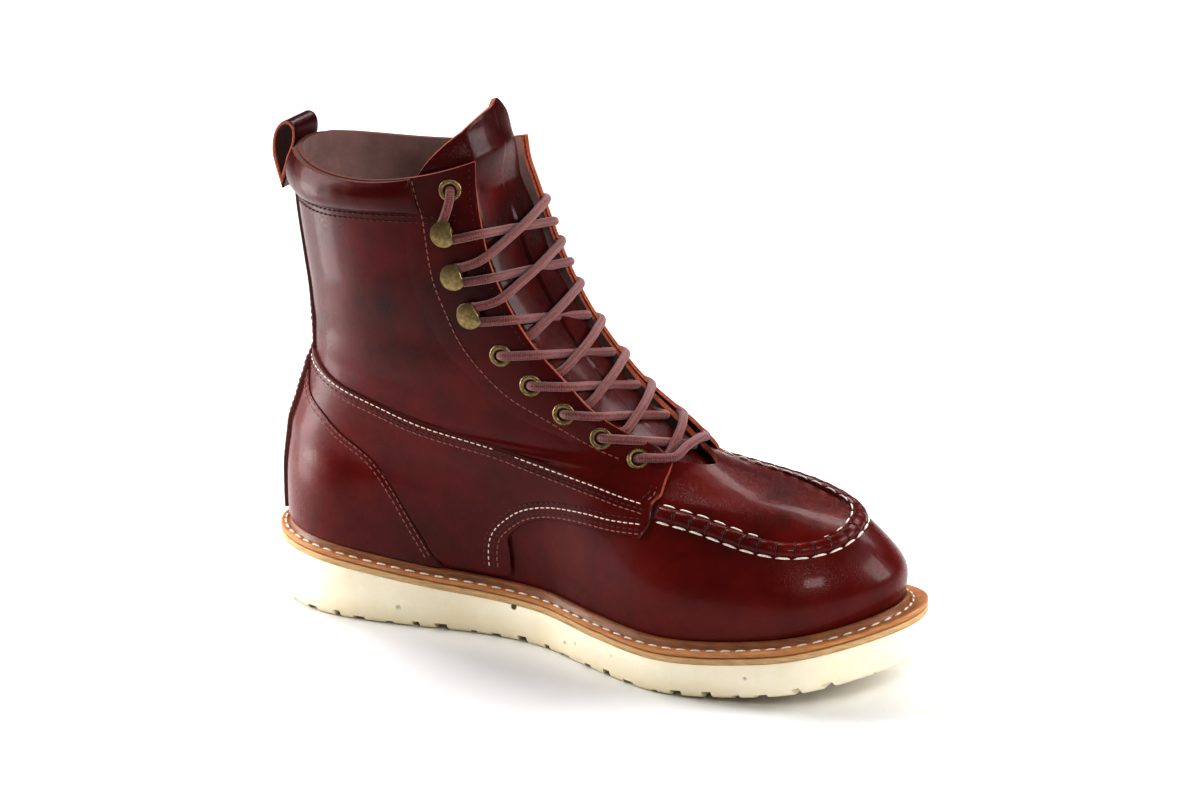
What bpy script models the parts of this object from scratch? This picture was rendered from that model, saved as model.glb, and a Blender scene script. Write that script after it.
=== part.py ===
# Wedge sole work boot for the left foot, eight inches high with a moc toe.
# Metres, +X to the toe, +Y to the outer (lateral) side, +Z up.
import math

import bmesh
import bpy
import numpy as np
from mathutils import Matrix, Vector

# Driving sizes
sole_length = 0.306
ball_width = 0.109
shaft_rise = 0.1755        # collar rim at the back, above the midsole
heel_thick = 0.0266        # cream wedge under the heel
toe_spring = 0.0165
midsole_thick = 0.0025
welt_thick = 0.0024
welt_rib = 0.0036          # raised rib of the welt beside the upper
welt_rib_width = 0.0024
insole_thick = 0.003
wall = 0.0022              # leather and lining together
overlay_thick = 0.0017
counter_thick = 0.0022
clearance = 0.0003

# Tread under the wedge
tread_depth = 0.0022
groove_width = 0.005
groove_pitch = 0.0235
first_groove = 0.085       # shares of the sole length
last_groove = 0.93
edge_bevel = 0.0035
midsole_inset = 0.0004
rib_loop = 0.62            # loop of the upper beside the welt's rib
welt_hug = 0.0017          # between the upper's skin and the welt
insole_gap = 0.0009

# Hardware and lace
eyelet_width = 0.0098
eyelet_hole = 0.0050
eyelet_metal = 0.0008
eyelet_height = 0.0013
eyelet_slope = 0.0001      # undersides slope a little towards the barrel
eyelet_seat = 0.0011       # rim above the skin, which curves under it
hook_width = 0.0105
hook_height = 0.0066
hook_stem = 0.0036
lace_width = 0.0040

# Tongue, collar and pull loop
tongue_thick = 0.0026
tongue_gap = 0.0014        # between the wall's inside and the tongue
collar_bulge = 0.0055
collar_press = 0.0009      # what is left of the roll behind the pull loop
press_reach = 22.0         # degrees each side of the back
strap_width = 0.020
strap_thick = 0.0016
strap_gap = 0.0009         # over the counter's facets
collar_reach = 106.0       # degrees from the back to each end of the roll
seam_gap = 0.011           # radians left between counter and saddle
loop_height = 0.028
loop_depth = 0.0112
loop_nearer = 0.0007       # the collar curves away from the loop's widest place
toe_roll_width = 0.0085
toe_roll_height = 0.0030

# Half widths of the sole over the ball width, before its ends are rounded
OUTLINE = (
    # share, medial, lateral
    (0.00, 0.600, 0.560),
    (0.10, 0.540, 0.435),
    (0.23, 0.381, 0.358),
    (0.36, 0.266, 0.371),
    (0.46, 0.270, 0.428),
    (0.56, 0.388, 0.488),
    (0.67, 0.517, 0.541),
    (0.79, 0.578, 0.579),
    (0.90, 0.650, 0.648),
    (1.00, 0.570, 0.700),
)

# Thickness of the wedge over the heel's thickness
WEDGE = (
    # share, thick
    (0.00, 1.00),
    (0.12, 0.95),
    (0.33, 0.69),
    (0.50, 0.61),
    (0.68, 0.575),
    (1.00, 0.61),
)
spring_start = 0.66        # share of the length where the toe begins to rise
spring_power = 1.8

# Loops of the upper from the feather line to the rim. Places along the boot are
# shares of the sole length, heights of the shaft rise, widths of the ball width.
LOOPS = (
    # back, back_up, front, front_up, medial, lateral, foot, tuck, heel_round, toe_round, sag, dip
    (0.026, 0.002, 0.957, 0.002, 0.340, 0.340, 1.00, 0.064, 1.00, 1.00, 1.00, 0.000),
    (0.021, 0.046, 0.967, 0.048, 0.340, 0.340, 1.00, 0.050, 1.00, 1.00, 1.00, 0.000),
    (0.020, 0.103, 0.968, 0.100, 0.340, 0.340, 0.97, 0.041, 1.00, 1.00, 0.97, 0.000),
    (0.020, 0.160, 0.954, 0.142, 0.348, 0.340, 0.90, 0.041, 1.00, 1.00, 0.85, 0.000),
    (0.023, 0.205, 0.928, 0.182, 0.348, 0.340, 0.72, 0.055, 0.95, 1.00, 0.60, 0.000),
    (0.026, 0.239, 0.896, 0.208, 0.340, 0.330, 0.55, 0.083, 0.90, 1.00, 0.30, 0.000),
    (0.029, 0.274, 0.840, 0.238, 0.335, 0.326, 0.38, 0.110, 0.85, 1.00, 0.15, 0.000),
    (0.034, 0.302, 0.772, 0.262, 0.326, 0.317, 0.26, 0.110, 0.85, 1.00, 0.06, 0.000),
    (0.041, 0.336, 0.716, 0.288, 0.317, 0.307, 0.17, 0.110, 0.85, 1.00, 0.00, 0.000),
    (0.047, 0.370, 0.672, 0.322, 0.312, 0.303, 0.10, 0.110, 0.85, 1.00, 0.00, 0.000),
    (0.058, 0.427, 0.628, 0.405, 0.307, 0.298, 0.05, 0.110, 0.85, 1.00, 0.00, 0.000),
    (0.062, 0.490, 0.580, 0.507, 0.307, 0.298, 0.00, 0.110, 0.85, 1.00, 0.00, 0.000),
    (0.060, 0.553, 0.540, 0.621, 0.312, 0.303, 0.00, 0.110, 0.90, 1.00, 0.00, 0.000),
    (0.057, 0.632, 0.495, 0.738, 0.321, 0.312, 0.00, 0.110, 0.95, 1.00, 0.00, 0.000),
    (0.049, 0.724, 0.460, 0.846, 0.330, 0.321, 0.00, 0.110, 1.00, 1.00, 0.00, 0.010),
    (0.040, 0.838, 0.428, 0.946, 0.335, 0.326, 0.00, 0.110, 1.00, 1.00, 0.00, 0.022),
    (0.038, 0.912, 0.405, 1.003, 0.340, 0.330, 0.00, 0.110, 1.00, 1.00, 0.00, 0.030),
    (0.041, 1.000, 0.392, 1.054, 0.344, 0.335, 0.00, 0.110, 1.00, 1.00, 0.00, 0.040),
)

# Half width of the throat over the ball width, by loop number
THROAT = (
    # loop, medial, lateral
    (8.60, 0.000, 0.000),
    (8.80, 0.095, 0.095),
    (9.30, 0.142, 0.142),
    (10.0, 0.200, 0.195),
    (11.0, 0.226, 0.215),
    (12.0, 0.249, 0.236),
    (13.0, 0.258, 0.243),
    (14.0, 0.260, 0.245),
    (15.0, 0.247, 0.240),
    (16.0, 0.230, 0.228),
    (17.0, 0.217, 0.217),
)
throat_foot = 8.6          # loop where the throat opens

# Eyelets and hooks up each side: loop, and distance from the throat's edge
EYELETS = ((8.95, 0.0168), (9.58, 0.0164), (10.20, 0.0146), (10.95, 0.0160), (11.75, 0.0163), (16.20, 0.0110))
HOOKS = ((12.80, 0.0156), (13.80, 0.0150), (14.80, 0.0150))

# Front edge of the heel counter
COUNTER = (
    # loop, angle in degrees
    (0.85, 65.5),
    (1.40, 64.0),
    (3.20, 59.5),
    (5.00, 55.0),
    (5.85, 52.0),
    (7.20, 44.5),
    (8.50, 33.0),
    (9.75, 18.0),
    (10.2, 13.0),
)

# Saddle panel from the back seam to its wing. Up to seam_share its lower edge meets the counter.
SADDLE = (
    # share, low_loop, low_angle, top_loop, top_angle
    (0.00, 10.20, 13.0, 10.75, 13.0),
    (0.10, 8.50, 33.0, 10.40, 26.0),
    (0.20, 7.20, 44.5, 10.00, 38.0),
    (0.30, 5.60, 52.8, 9.75, 48.0),
    (0.38, 3.90, 57.6, 9.60, 56.0),
    (0.46, 2.10, 62.2, 9.38, 64.0),
    (0.52, 1.02, 65.9, 9.20, 70.5),
    (0.56, 0.92, 72.5, 9.05, 75.0),
    (0.60, 1.02, 79.0, 8.90, 79.0),
    (0.64, 1.90, 78.5, 8.68, 84.5),
    (0.70, 2.80, 79.8, 8.35, 91.5),
    (0.76, 3.60, 84.8, 7.95, 98.0),
    (0.82, 4.05, 91.5, 7.50, 104.0),
    (0.90, 4.22, 101.5, 6.85, 111.5),
    (1.00, 4.35, 111.5, 6.05, 121.0),
)
seam_share = 0.50
saddle_columns = 20

# Middle of the raised toe seam round the plug
TOE_SEAM = (
    # turn, loop (turn runs from the medial wing, 0, through the toe, to the lateral wing, 1)
    (0.00, 5.50),
    (0.06, 5.25),
    (0.14, 4.60),
    (0.22, 4.28),
    (0.32, 4.32),
    (0.42, 4.62),
    (0.50, 4.82),
    (0.58, 4.84),
    (0.68, 4.80),
    (0.78, 4.88),
    (0.86, 5.12),
    (0.94, 5.36),
    (1.00, 5.44),
)
seam_turn = 119.0          # degrees from the heel where the toe seam starts on both sides

# Edges of the tongue under the facings, in degrees from the heel
TONGUE = (
    # loop, medial, lateral
    (8.35, 158, 158),
    (8.80, 150, 150),
    (9.40, 138, 138),
    (10.2, 129, 129),
    (11.2, 124, 124),
    (12.2, 120, 121),
    (13.2, 119, 120),
    (14.2, 118, 120),
    (15.2, 117, 121),
    (16.2, 112, 122),
    (17.2, 106, 123),
    (18.2, 103, 125),
    (19.2, 101, 127),
)
TONGUE_TOP = (
    # across (-1 medial, 1 lateral), loop of the top edge
    (-1.00, 17.0),
    (-0.75, 17.9),
    (-0.50, 18.6),
    (-0.26, 19.0),
    (0.00, 18.9),
    (0.40, 18.4),
    (1.00, 17.4),
)
TONGUE_ROWS = (8.35, 8.8, 9.4, 10.2, 11.2, 12.2, 13.2, 14.2, 15.2, 16.2)
tongue_crown = 0.40        # how far the tongue follows the skin's crest between the facings

# Loops that carry the rows of the faceted wall, and its columns
WALL_ROWS = (0, 1.2, 2.4, 3.4, 4.4, 5.4, 6.6, 7.8, 8.6, 8.8, 9.3, 10, 11, 12, 13, 14, 15.5, 17)
wall_columns = 32
merge = 1e-6               # points nearer than this are one


def smooth(table, column, at):
    """Smooth curve through one column of a table, straight past its ends."""
    xs = np.array([row[0] for row in table], float)
    ys = np.array([row[column] for row in table], float)
    slope = np.diff(ys) / np.diff(xs)
    tangent = np.concatenate([slope[:1], (slope[:-1] + slope[1:]) / 2, slope[-1:]])
    at = np.asarray(at, float)
    k = np.clip(np.searchsorted(xs, at, side="right") - 1, 0, len(xs) - 2)
    width = xs[k + 1] - xs[k]
    t = (at - xs[k]) / width
    inside = np.clip(t, 0, 1)
    a = 2 * inside**3 - 3 * inside**2 + 1
    b = inside**3 - 2 * inside**2 + inside
    c = -2 * inside**3 + 3 * inside**2
    d = inside**3 - inside**2
    value = a * ys[k] + b * width * tangent[k] + c * ys[k + 1] + d * width * tangent[k + 1]
    past = t - inside
    edge = np.where(t > 1, tangent[k + 1], tangent[k])
    return value + past * width * edge


def sole_rise(share):
    """Height of the tread above the floor."""
    run = np.clip((np.asarray(share, float) - spring_start) / (1 - spring_start), 0, None)
    return toe_spring * run**spring_power


def wedge_top(share):
    """Top of the cream wedge."""
    return sole_rise(share) + heel_thick * smooth(WEDGE, 1, share)


def midsole_top(share):
    return wedge_top(share) + midsole_thick + clearance


def half_outline(share, side):
    """Half width of the sole at a share of its length, before its ends are rounded."""
    return ball_width * smooth(OUTLINE, 1 if side < 0 else 2, share)


NAMES = ("back", "back_up", "front", "front_up", "medial", "lateral", "foot", "tuck",
         "heel_round", "toe_round", "sag", "dip")
NUMBERED = tuple((number,) + row for number, row in enumerate(LOOPS))


def loop_sizes(loop):
    """Every column of the loops, read at a loop number that may lie between two rows."""
    return {name: smooth(NUMBERED, 1 + i, loop) for i, name in enumerate(NAMES)}


def half_width(angle, s):
    """Half width of the skin at an angle, from the loop's sizes."""
    share = (1 - np.cos(angle)) / 2
    x = s["back"] + (s["front"] - s["back"]) * share
    power = np.where(np.abs(angle) < math.pi / 2, s["heel_round"], s["toe_round"])
    arch = np.abs(np.sin(angle)) ** power
    medial = angle < 0
    oval = np.where(medial, s["medial"], s["lateral"]) * ball_width
    footprint = np.where(medial, half_outline(x, -1), half_outline(x, 1)) - s["tuck"] * ball_width
    return arch * (oval + (footprint - oval) * s["foot"])


def skin(angle, loop):
    """Point of the upper: angle 0 at the back, pi at the front, negative on the medial side."""
    angle, loop = np.broadcast_arrays(np.asarray(angle, float), np.asarray(loop, float))
    angle = (angle + math.pi) % (2 * math.pi) - math.pi
    s = loop_sizes(loop)
    share = (1 - np.cos(angle)) / 2
    x = s["back"] + (s["front"] - s["back"]) * share
    y = np.where(angle < 0, -1, 1) * half_width(angle, s)
    heel, toe = midsole_top(0.0), midsole_top(1.0)
    chord = heel + (toe - heel) * x
    sink = midsole_top(x) - chord
    sink_front = midsole_top(s["front"]) - (heel + (toe - heel) * s["front"])
    up = s["back_up"] + (s["front_up"] - s["back_up"]) * share**2 - s["dip"] * 4 * share * (1 - share)
    z = chord + s["sag"] * (sink - share * sink_front * (1 - s["sag"])) + up * shaft_rise
    return np.stack([x * sole_length, y, z], -1)


def outward(angle, loop):
    """Unit normal of the upper, pointing out."""
    step = 1e-3
    around = skin(np.add(angle, step), loop) - skin(np.subtract(angle, step), loop)
    upward = skin(angle, np.add(loop, step)) - skin(angle, np.subtract(loop, step))
    normal = np.cross(upward, around)
    return normal / np.linalg.norm(normal, axis=-1, keepdims=True)


def layer(angle, loop, offset):
    """Point at an offset from the upper's skin."""
    return skin(angle, loop) + outward(angle, loop) * np.asarray(offset)[..., None]


def front_angle(loop, side, half):
    """Angle in front of the widest place where the skin is a given half width from the middle."""
    loop, half = np.broadcast_arrays(np.asarray(loop, float), np.asarray(half, float))
    s = loop_sizes(loop)
    low = np.full(loop.shape, math.pi / 2)
    high = np.full(loop.shape, math.pi)
    for _ in range(26):
        middle = (low + high) / 2
        wide = half_width(side * middle, s) > half
        low = np.where(wide, middle, low)
        high = np.where(wide, high, middle)
    return np.where(half > 0, (low + high) / 2, math.pi)


def throat_half(loop, side):
    """Half width of the throat opening, nothing below its foot."""
    half = smooth(THROAT, 1 if side < 0 else 2, loop) * ball_width
    return np.where(np.asarray(loop) > throat_foot, np.maximum(half, 0), 0)


def throat_angle(loop, side):
    """Angle of the throat's edge on one side: pi below the throat."""
    return front_angle(loop, side, throat_half(loop, side))


def across_throat(angle, loop, offset):
    """Layer that is flattened between the throat's edges, as a taut tongue lies."""
    angle, loop, offset = np.broadcast_arrays(np.asarray(angle, float), np.asarray(loop, float), offset)
    point = layer(angle, loop, offset)
    for side in (-1, 1):
        edge = throat_angle(np.minimum(loop, len(LOOPS) - 1), side)
        rim = layer(side * edge, loop, offset)
        inside = (np.sign(angle) == side) & (np.abs(angle) > edge)
        for axis in (0, 2):
            flat = rim[..., axis] + (point[..., axis] - rim[..., axis]) * tongue_crown
            point[..., axis] = np.where(inside, flat, point[..., axis])
    return point


def beside_throat(side, loop, beyond, offset):
    """Point at a distance outside the throat's edge along the skin, or inside it where negative."""
    if beyond <= 0:
        half = max(float(throat_half(loop, side)) + beyond, 0)
        return across_throat(side * front_angle(loop, side, half), loop, offset)
    edge = float(throat_angle(loop, side))
    angles = np.linspace(edge, edge - 1.2, 121)
    path = skin(side * angles, np.full(121, float(loop)))
    run = np.concatenate([[0], np.cumsum(np.linalg.norm(np.diff(path, axis=0), axis=1))])
    return layer(side * np.interp(beyond, run, angles), loop, offset)


def wall_grid(offset):
    """Rows and columns of the faceted wall at an offset from the skin."""
    rows = []
    for loop in WALL_ROWS:
        lateral = float(throat_angle(loop, 1))
        medial = float(throat_angle(loop, -1))
        count = np.arange(wall_columns + 1) / wall_columns
        angle = lateral - (lateral + medial) * count
        rows.append(layer(angle, np.full(angle.shape, float(loop)), np.full(angle.shape, offset)))
    return np.array(rows)


# Mesh helpers
def material(name, colour, roughness, metallic=0.0):
    made = bpy.data.materials.new(name)
    made.use_nodes = True
    shader = made.node_tree.nodes["Principled BSDF"]
    shader.inputs["Base Color"].default_value = (*colour, 1)
    shader.inputs["Roughness"].default_value = roughness
    shader.inputs["Metallic"].default_value = metallic
    return made


def solid(name, points, faces, finish, sharp=40):
    """One closed body from points and faces, facing out, shaded smooth."""
    mesh = bpy.data.meshes.new(name)
    mesh.from_pydata([tuple(map(float, p)) for p in points], [], faces)
    shape = bmesh.new()
    shape.from_mesh(mesh)
    bmesh.ops.remove_doubles(shape, verts=shape.verts, dist=merge)
    bmesh.ops.recalc_face_normals(shape, faces=shape.faces)
    if shape.calc_volume(signed=True) < 0:
        bmesh.ops.reverse_faces(shape, faces=shape.faces)
    shape.to_mesh(mesh)
    shape.free()
    mesh.shade_smooth()
    mesh.set_sharp_from_angle(angle=math.radians(sharp))
    made = bpy.data.objects.new(name, mesh)
    bpy.context.collection.objects.link(made)
    if finish:
        mesh.materials.append(finish)
    return made


def sheet(name, outer, inner, finish, sharp=40):
    """Closed sheet between two grids of the same rows and columns, joined where its ends meet."""
    rows, columns = outer.shape[:2]
    points = list(outer.reshape(-1, 3)) + list(inner.reshape(-1, 3))
    half = rows * columns

    def at(row, column, side):
        return side * half + row * columns + column

    faces = []
    for r in range(rows - 1):
        for c in range(columns - 1):
            faces.append((at(r, c, 0), at(r, c + 1, 0), at(r + 1, c + 1, 0), at(r + 1, c, 0)))
            faces.append((at(r, c, 1), at(r + 1, c, 1), at(r + 1, c + 1, 1), at(r, c + 1, 1)))
    top, end = rows - 1, columns - 1
    for c in range(end):
        faces.append((at(0, c, 0), at(0, c, 1), at(0, c + 1, 1), at(0, c + 1, 0)))
        faces.append((at(top, c, 0), at(top, c + 1, 0), at(top, c + 1, 1), at(top, c, 1)))
    meets = np.linalg.norm(outer[:, 0] - outer[:, -1], axis=1) < merge
    for r in range(top):
        if meets[r] and meets[r + 1]:
            continue
        faces.append((at(r, 0, 0), at(r + 1, 0, 0), at(r + 1, 0, 1), at(r, 0, 1)))
        faces.append((at(r, end, 0), at(r, end, 1), at(r + 1, end, 1), at(r + 1, end, 0)))
    return solid(name, points, faces, finish, sharp)


def ring_stack(name, rings, finish, close=False, sharp=40):
    """Body from closed rings of equal count: capped at both ends, or joined last to first."""
    count = len(rings[0])
    points = [p for ring in rings for p in ring]
    faces = []
    total = len(rings)
    for r in range(total if close else total - 1):
        for c in range(count):
            a, b = r * count + c, r * count + (c + 1) % count
            d, e = ((r + 1) % total) * count + c, ((r + 1) % total) * count + (c + 1) % count
            faces.append((a, b, e, d))
    if not close:
        faces.append(tuple(range(count)))
        faces.append(tuple(range((total - 1) * count, total * count)))
    return solid(name, points, faces, finish, sharp)


def facet(made):
    """Split every face into triangles, for small rings whose faces are barely flat."""
    shape = bmesh.new()
    shape.from_mesh(made.data)
    bmesh.ops.triangulate(shape, faces=shape.faces)
    shape.to_mesh(made.data)
    shape.free()
    return made


def cut(target, cutter, operation="DIFFERENCE"):
    """Cut or join with an exact Boolean, applied at once, and drop the tool."""
    step = target.modifiers.new("cut", "BOOLEAN")
    step.operation = operation
    step.solver = "EXACT"
    step.object = cutter
    bpy.context.view_layer.update()
    graph = bpy.context.evaluated_depsgraph_get()
    mesh = bpy.data.meshes.new_from_object(target.evaluated_get(graph))
    target.modifiers.clear()
    target.data = mesh
    bpy.data.objects.remove(cutter)
    shape = bmesh.new()
    shape.from_mesh(mesh)
    bmesh.ops.remove_doubles(shape, verts=shape.verts, dist=merge)
    bmesh.ops.triangulate(shape, faces=[f for f in shape.faces if len(f.verts) > 4])
    shape.to_mesh(mesh)
    shape.free()
    mesh.shade_smooth()
    mesh.set_sharp_from_angle(angle=math.radians(40))
    return target


# Sole pieces
outline_points = 52


def ladder(start, count, up):
    """Faces that close a ring whose two sides mirror each other, rung by rung."""
    faces = []
    for k in range(count // 2):
        face = [start + k, start + k + 1, start + (count - k - 1) % count, start + (count - k) % count]
        face = list(dict.fromkeys(face))
        faces.append(tuple(face if up else reversed(face)))
    return faces


def outline_ring(inset, height):
    """Ring round the sole from toe to heel and back, inset from its edge."""
    ring = []
    for k in range(outline_points):
        angle = 2 * math.pi * k / outline_points - math.pi
        share = (1 - math.cos(angle)) / 2
        side = -1 if angle < 0 else 1
        half = float(half_outline(share, side)) * abs(math.sin(angle))
        ring.append((share * sole_length, side * half))
    ring = np.array(ring)
    ahead = np.roll(ring, -1, 0) - np.roll(ring, 1, 0)
    normal = np.stack([ahead[:, 1], -ahead[:, 0]], 1)
    normal /= np.linalg.norm(normal, axis=1, keepdims=True)
    if np.sum(normal * (ring - ring.mean(0))) < 0:
        normal = -normal
    ring = ring - normal * inset
    return np.column_stack([ring, height(ring[:, 0] / sole_length)])


def skin_ring(loop, offset, height):
    """Ring beside the upper's foot in plan, at an offset from the skin and a height by share."""
    angle = 2 * math.pi * np.arange(outline_points) / outline_points - math.pi
    ring = skin(angle, np.full(outline_points, float(loop)))[:, :2]
    ahead = np.roll(ring, -1, 0) - np.roll(ring, 1, 0)
    normal = np.stack([ahead[:, 1], -ahead[:, 0]], 1)
    normal /= np.linalg.norm(normal, axis=1, keepdims=True)
    if np.sum(normal * (ring - ring.mean(0))) < 0:
        normal = -normal
    ring = ring + normal * offset
    return np.column_stack([ring, height(ring[:, 0] / sole_length)])


def slab(name, rings, finish, sharp=35):
    """Body from rings stacked upward, closed by rungs at both ends."""
    count = len(rings[0])
    points = [p for ring in rings for p in ring]
    faces = ladder(0, count, False) + ladder((len(rings) - 1) * count, count, True)
    for r in range(len(rings) - 1):
        for c in range(count):
            a, b = r * count + c, r * count + (c + 1) % count
            faces.append((a, b, b + count, a + count))
    return solid(name, points, faces, finish, sharp)


def block(low, high, turn=0.0, about=(0, 0, 0)):
    """Plain box for cutting, turned about Y."""
    x0, y0, z0 = low
    x1, y1, z1 = high
    corners = [(x0, y0, z0), (x1, y0, z0), (x1, y1, z0), (x0, y1, z0),
               (x0, y0, z1), (x1, y0, z1), (x1, y1, z1), (x0, y1, z1)]
    spin = Matrix.Rotation(turn, 4, "Y")
    corners = [Vector(about) + spin @ (Vector(c) - Vector(about)) for c in corners]
    faces = [(0, 3, 2, 1), (4, 5, 6, 7), (0, 1, 5, 4), (1, 2, 6, 5), (2, 3, 7, 6), (3, 0, 4, 7)]
    return solid("tool", corners, faces, None)


def make_outsole(finish):
    """Cream wedge with a soft lower edge, a flat heel and forefoot, and grooves across its tread."""
    def side(up):
        return lambda share: sole_rise(share) * (1 - up) + wedge_top(share) * up

    sole = slab("outsole", [
        outline_ring(edge_bevel, side(0.0)),
        outline_ring(edge_bevel * 0.25, side(0.14)),
        outline_ring(0.0, side(0.42)),
        outline_ring(0.0, side(1.0)),
    ], finish)
    middle = first_groove
    while middle < last_groove:
        x = middle * sole_length
        low = float(sole_rise(middle))
        slope = float(sole_rise(middle + 0.01) - sole_rise(middle - 0.01)) / (0.02 * sole_length)
        tool = block((x - groove_width / 2, -ball_width, low - 4 * tread_depth),
                     (x + groove_width / 2, ball_width, low + tread_depth), -math.atan(slope), (x, 0, low))
        cut(sole, tool)
        middle += groove_pitch / sole_length
    return sole


def make_midsole(finish):
    return slab("midsole", [
        outline_ring(midsole_inset, lambda share: wedge_top(share) + clearance),
        outline_ring(midsole_inset, midsole_top),
    ], finish)


def make_welt(finish):
    """Flat welt round the upper with a raised rib that hugs the leather."""
    def level(up):
        return lambda share: midsole_top(share) + clearance + up

    top = welt_thick + welt_rib
    hug = welt_hug
    rings = [
        outline_ring(midsole_inset, level(0)),
        outline_ring(midsole_inset, level(welt_thick)),
        skin_ring(rib_loop, hug + welt_rib_width, level(welt_thick)),
        skin_ring(rib_loop, hug + welt_rib_width * 0.7, level(top)),
        skin_ring(rib_loop, hug, level(top)),
        skin_ring(rib_loop * 0.5, hug, level(welt_thick)),
        skin_ring(0, hug, level(0)),
    ]
    return ring_stack("welt", rings, finish, close=True)


def make_insole(finish):
    inset = -(wall + insole_gap)
    return slab("insole", [
        skin_ring(0, inset, lambda share: midsole_top(share) + clearance),
        skin_ring(0, inset, lambda share: midsole_top(share) + clearance + insole_thick),
    ], finish)


# Upper and what lies on it
def make_form(offset):
    """Closed last-like body just outside the faceted wall, for cutting what lies on it."""
    grid = wall_grid(offset)
    rows, columns = grid.shape[:2]
    low = grid[0] - np.array([0, 0, 0.004])
    high = grid[-1] + np.array([0, 0, 0.030])
    grid = np.concatenate([low[None], grid, high[None]])
    return slab("tool", list(grid), None)


def turned(side, loop, beyond, profile, sides=8):
    """Turned piece standing on the skin: the profile's rows are height and radius."""
    seat = Vector(beside_throat(side, loop, beyond, 0))
    up = (Vector(beside_throat(side, loop, beyond, 1)) - seat).normalized()
    across = up.orthogonal().normalized()
    along = up.cross(across)
    rings = []
    for height, radius in profile:
        ring = []
        for k in range(sides):
            turn = 2 * math.pi * k / sides
            spoke = across * math.cos(turn) + along * math.sin(turn)
            ring.append(seat + up * height + spoke * radius)
        rings.append(ring)
    return rings


def make_upper(finish):
    """One hollow wall, open at the collar, throat and underneath, with holes for the eyelets."""
    upper = sheet("upper", wall_grid(0), wall_grid(-wall), finish)
    radius = eyelet_hole / 2 + eyelet_metal + clearance
    for side in (-1, 1):
        for loop, beyond in EYELETS:
            rings = turned(side, loop, beyond, ((-3 * wall, radius), (3 * wall, radius)))
            cut(upper, ring_stack("tool", rings, None))
    return upper


def make_eyelet(name, side, loop, beyond, finish):
    """Rolled brass ring with a barrel through the wall."""
    hole = eyelet_hole / 2
    barrel = hole + eyelet_metal
    rim = eyelet_width / 2
    under = eyelet_seat
    profile = (
        (-wall - clearance, hole),
        (under + eyelet_height, (2 * hole + rim) / 3),
        (under, rim),
        (under - eyelet_slope, barrel),
        (-wall - clearance + eyelet_slope, barrel),
    )
    return facet(ring_stack(name, turned(side, loop, beyond, profile), finish, close=True, sharp=60))


def make_hook(name, side, loop, beyond, finish):
    """Speed hook: a domed disc on a short stem."""
    disc = hook_width / 2
    stem = hook_stem / 2
    under = hook_height - 0.0016
    profile = (
        (2 * clearance, stem),
        (under, stem),
        (under, disc),
        (under + 0.0008, disc),
        (hook_height, disc * 0.55),
    )
    return facet(ring_stack(name, turned(side, loop, beyond, profile), finish, sharp=50))


def overlay(name, outer, inner, finish, sharp=40):
    """Sheet between two grids with everything within the clearance of the wall cut away."""
    return cut(sheet(name, outer, inner, finish, sharp), make_form(clearance))


def counter_edge(loop):
    return np.radians(smooth(COUNTER, 1, loop))


def make_counter(finish):
    """Heel counter, wrapped round the back between its two slanting seams."""
    outer, inner = [], []
    shares = np.linspace(0, 1, saddle_columns)
    seam = smooth(SADDLE, 1, shares[shares < seam_share])
    for loop in (*seam, COUNTER[0][0]):
        angle = float(counter_edge(loop)) * np.linspace(1, -1, 12)
        loops = np.full(angle.shape, loop)
        outer.append(layer(angle, loops, np.full(angle.shape, counter_thick)))
        inner.append(layer(angle, loops, np.full(angle.shape, -wall)))
    return overlay("heel_counter", np.array(outer), np.array(inner), finish)


def make_saddle(name, side, finish):
    """Side panel from the back seam to the arched wing beside the plug."""
    outer, inner = [], []
    shares = np.linspace(0, 1, saddle_columns)
    low_loop = smooth(SADDLE, 1, shares)
    low_angle = np.radians(smooth(SADDLE, 2, shares))
    low_angle = np.where(shares < seam_share, counter_edge(low_loop) + seam_gap, low_angle)
    top_loop = smooth(SADDLE, 3, shares)
    top_angle = np.radians(smooth(SADDLE, 4, shares))
    for t in np.linspace(0, 1, 5):
        loops = low_loop + (top_loop - low_loop) * t
        angle = side * (low_angle + (top_angle - low_angle) * t)
        outer.append(layer(angle, loops, np.full(angle.shape, overlay_thick)))
        inner.append(layer(angle, loops, np.full(angle.shape, -wall)))
    return overlay(name, np.array(outer), np.array(inner), finish)


def back_angle(loop, across):
    """Angle near the back where the skin is a signed width from the middle."""
    side = -1 if across < 0 else 1
    s = loop_sizes(loop)
    low, high = 0.0, math.pi / 2
    for _ in range(26):
        middle = (low + high) / 2
        if float(half_width(side * middle, s)) < abs(across):
            low = middle
        else:
            high = middle
    return side * low


def make_back_strap(finish):
    """Narrow strap down the back seam, over the counter and the saddles."""
    outer, inner = [], []
    over = counter_thick + strap_gap
    for loop in (1.1, 2.5, 5, 7.5, 9.5, 10.9, 11.5, 13, 14.2, 15.35):
        stands = over if loop < 11 else 0
        low = over if loop < 11 else -wall
        angle = np.array([back_angle(loop, strap_width / 2 * share) for share in (1, 0.5, 0, -0.5, -1)])
        loops = np.full(angle.shape, float(loop))
        outer.append(layer(angle, loops, np.full(angle.shape, stands + strap_thick)))
        inner.append(layer(angle, loops, np.full(angle.shape, low)))
    return overlay("back_strap", np.array(outer), np.array(inner), finish)


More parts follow.
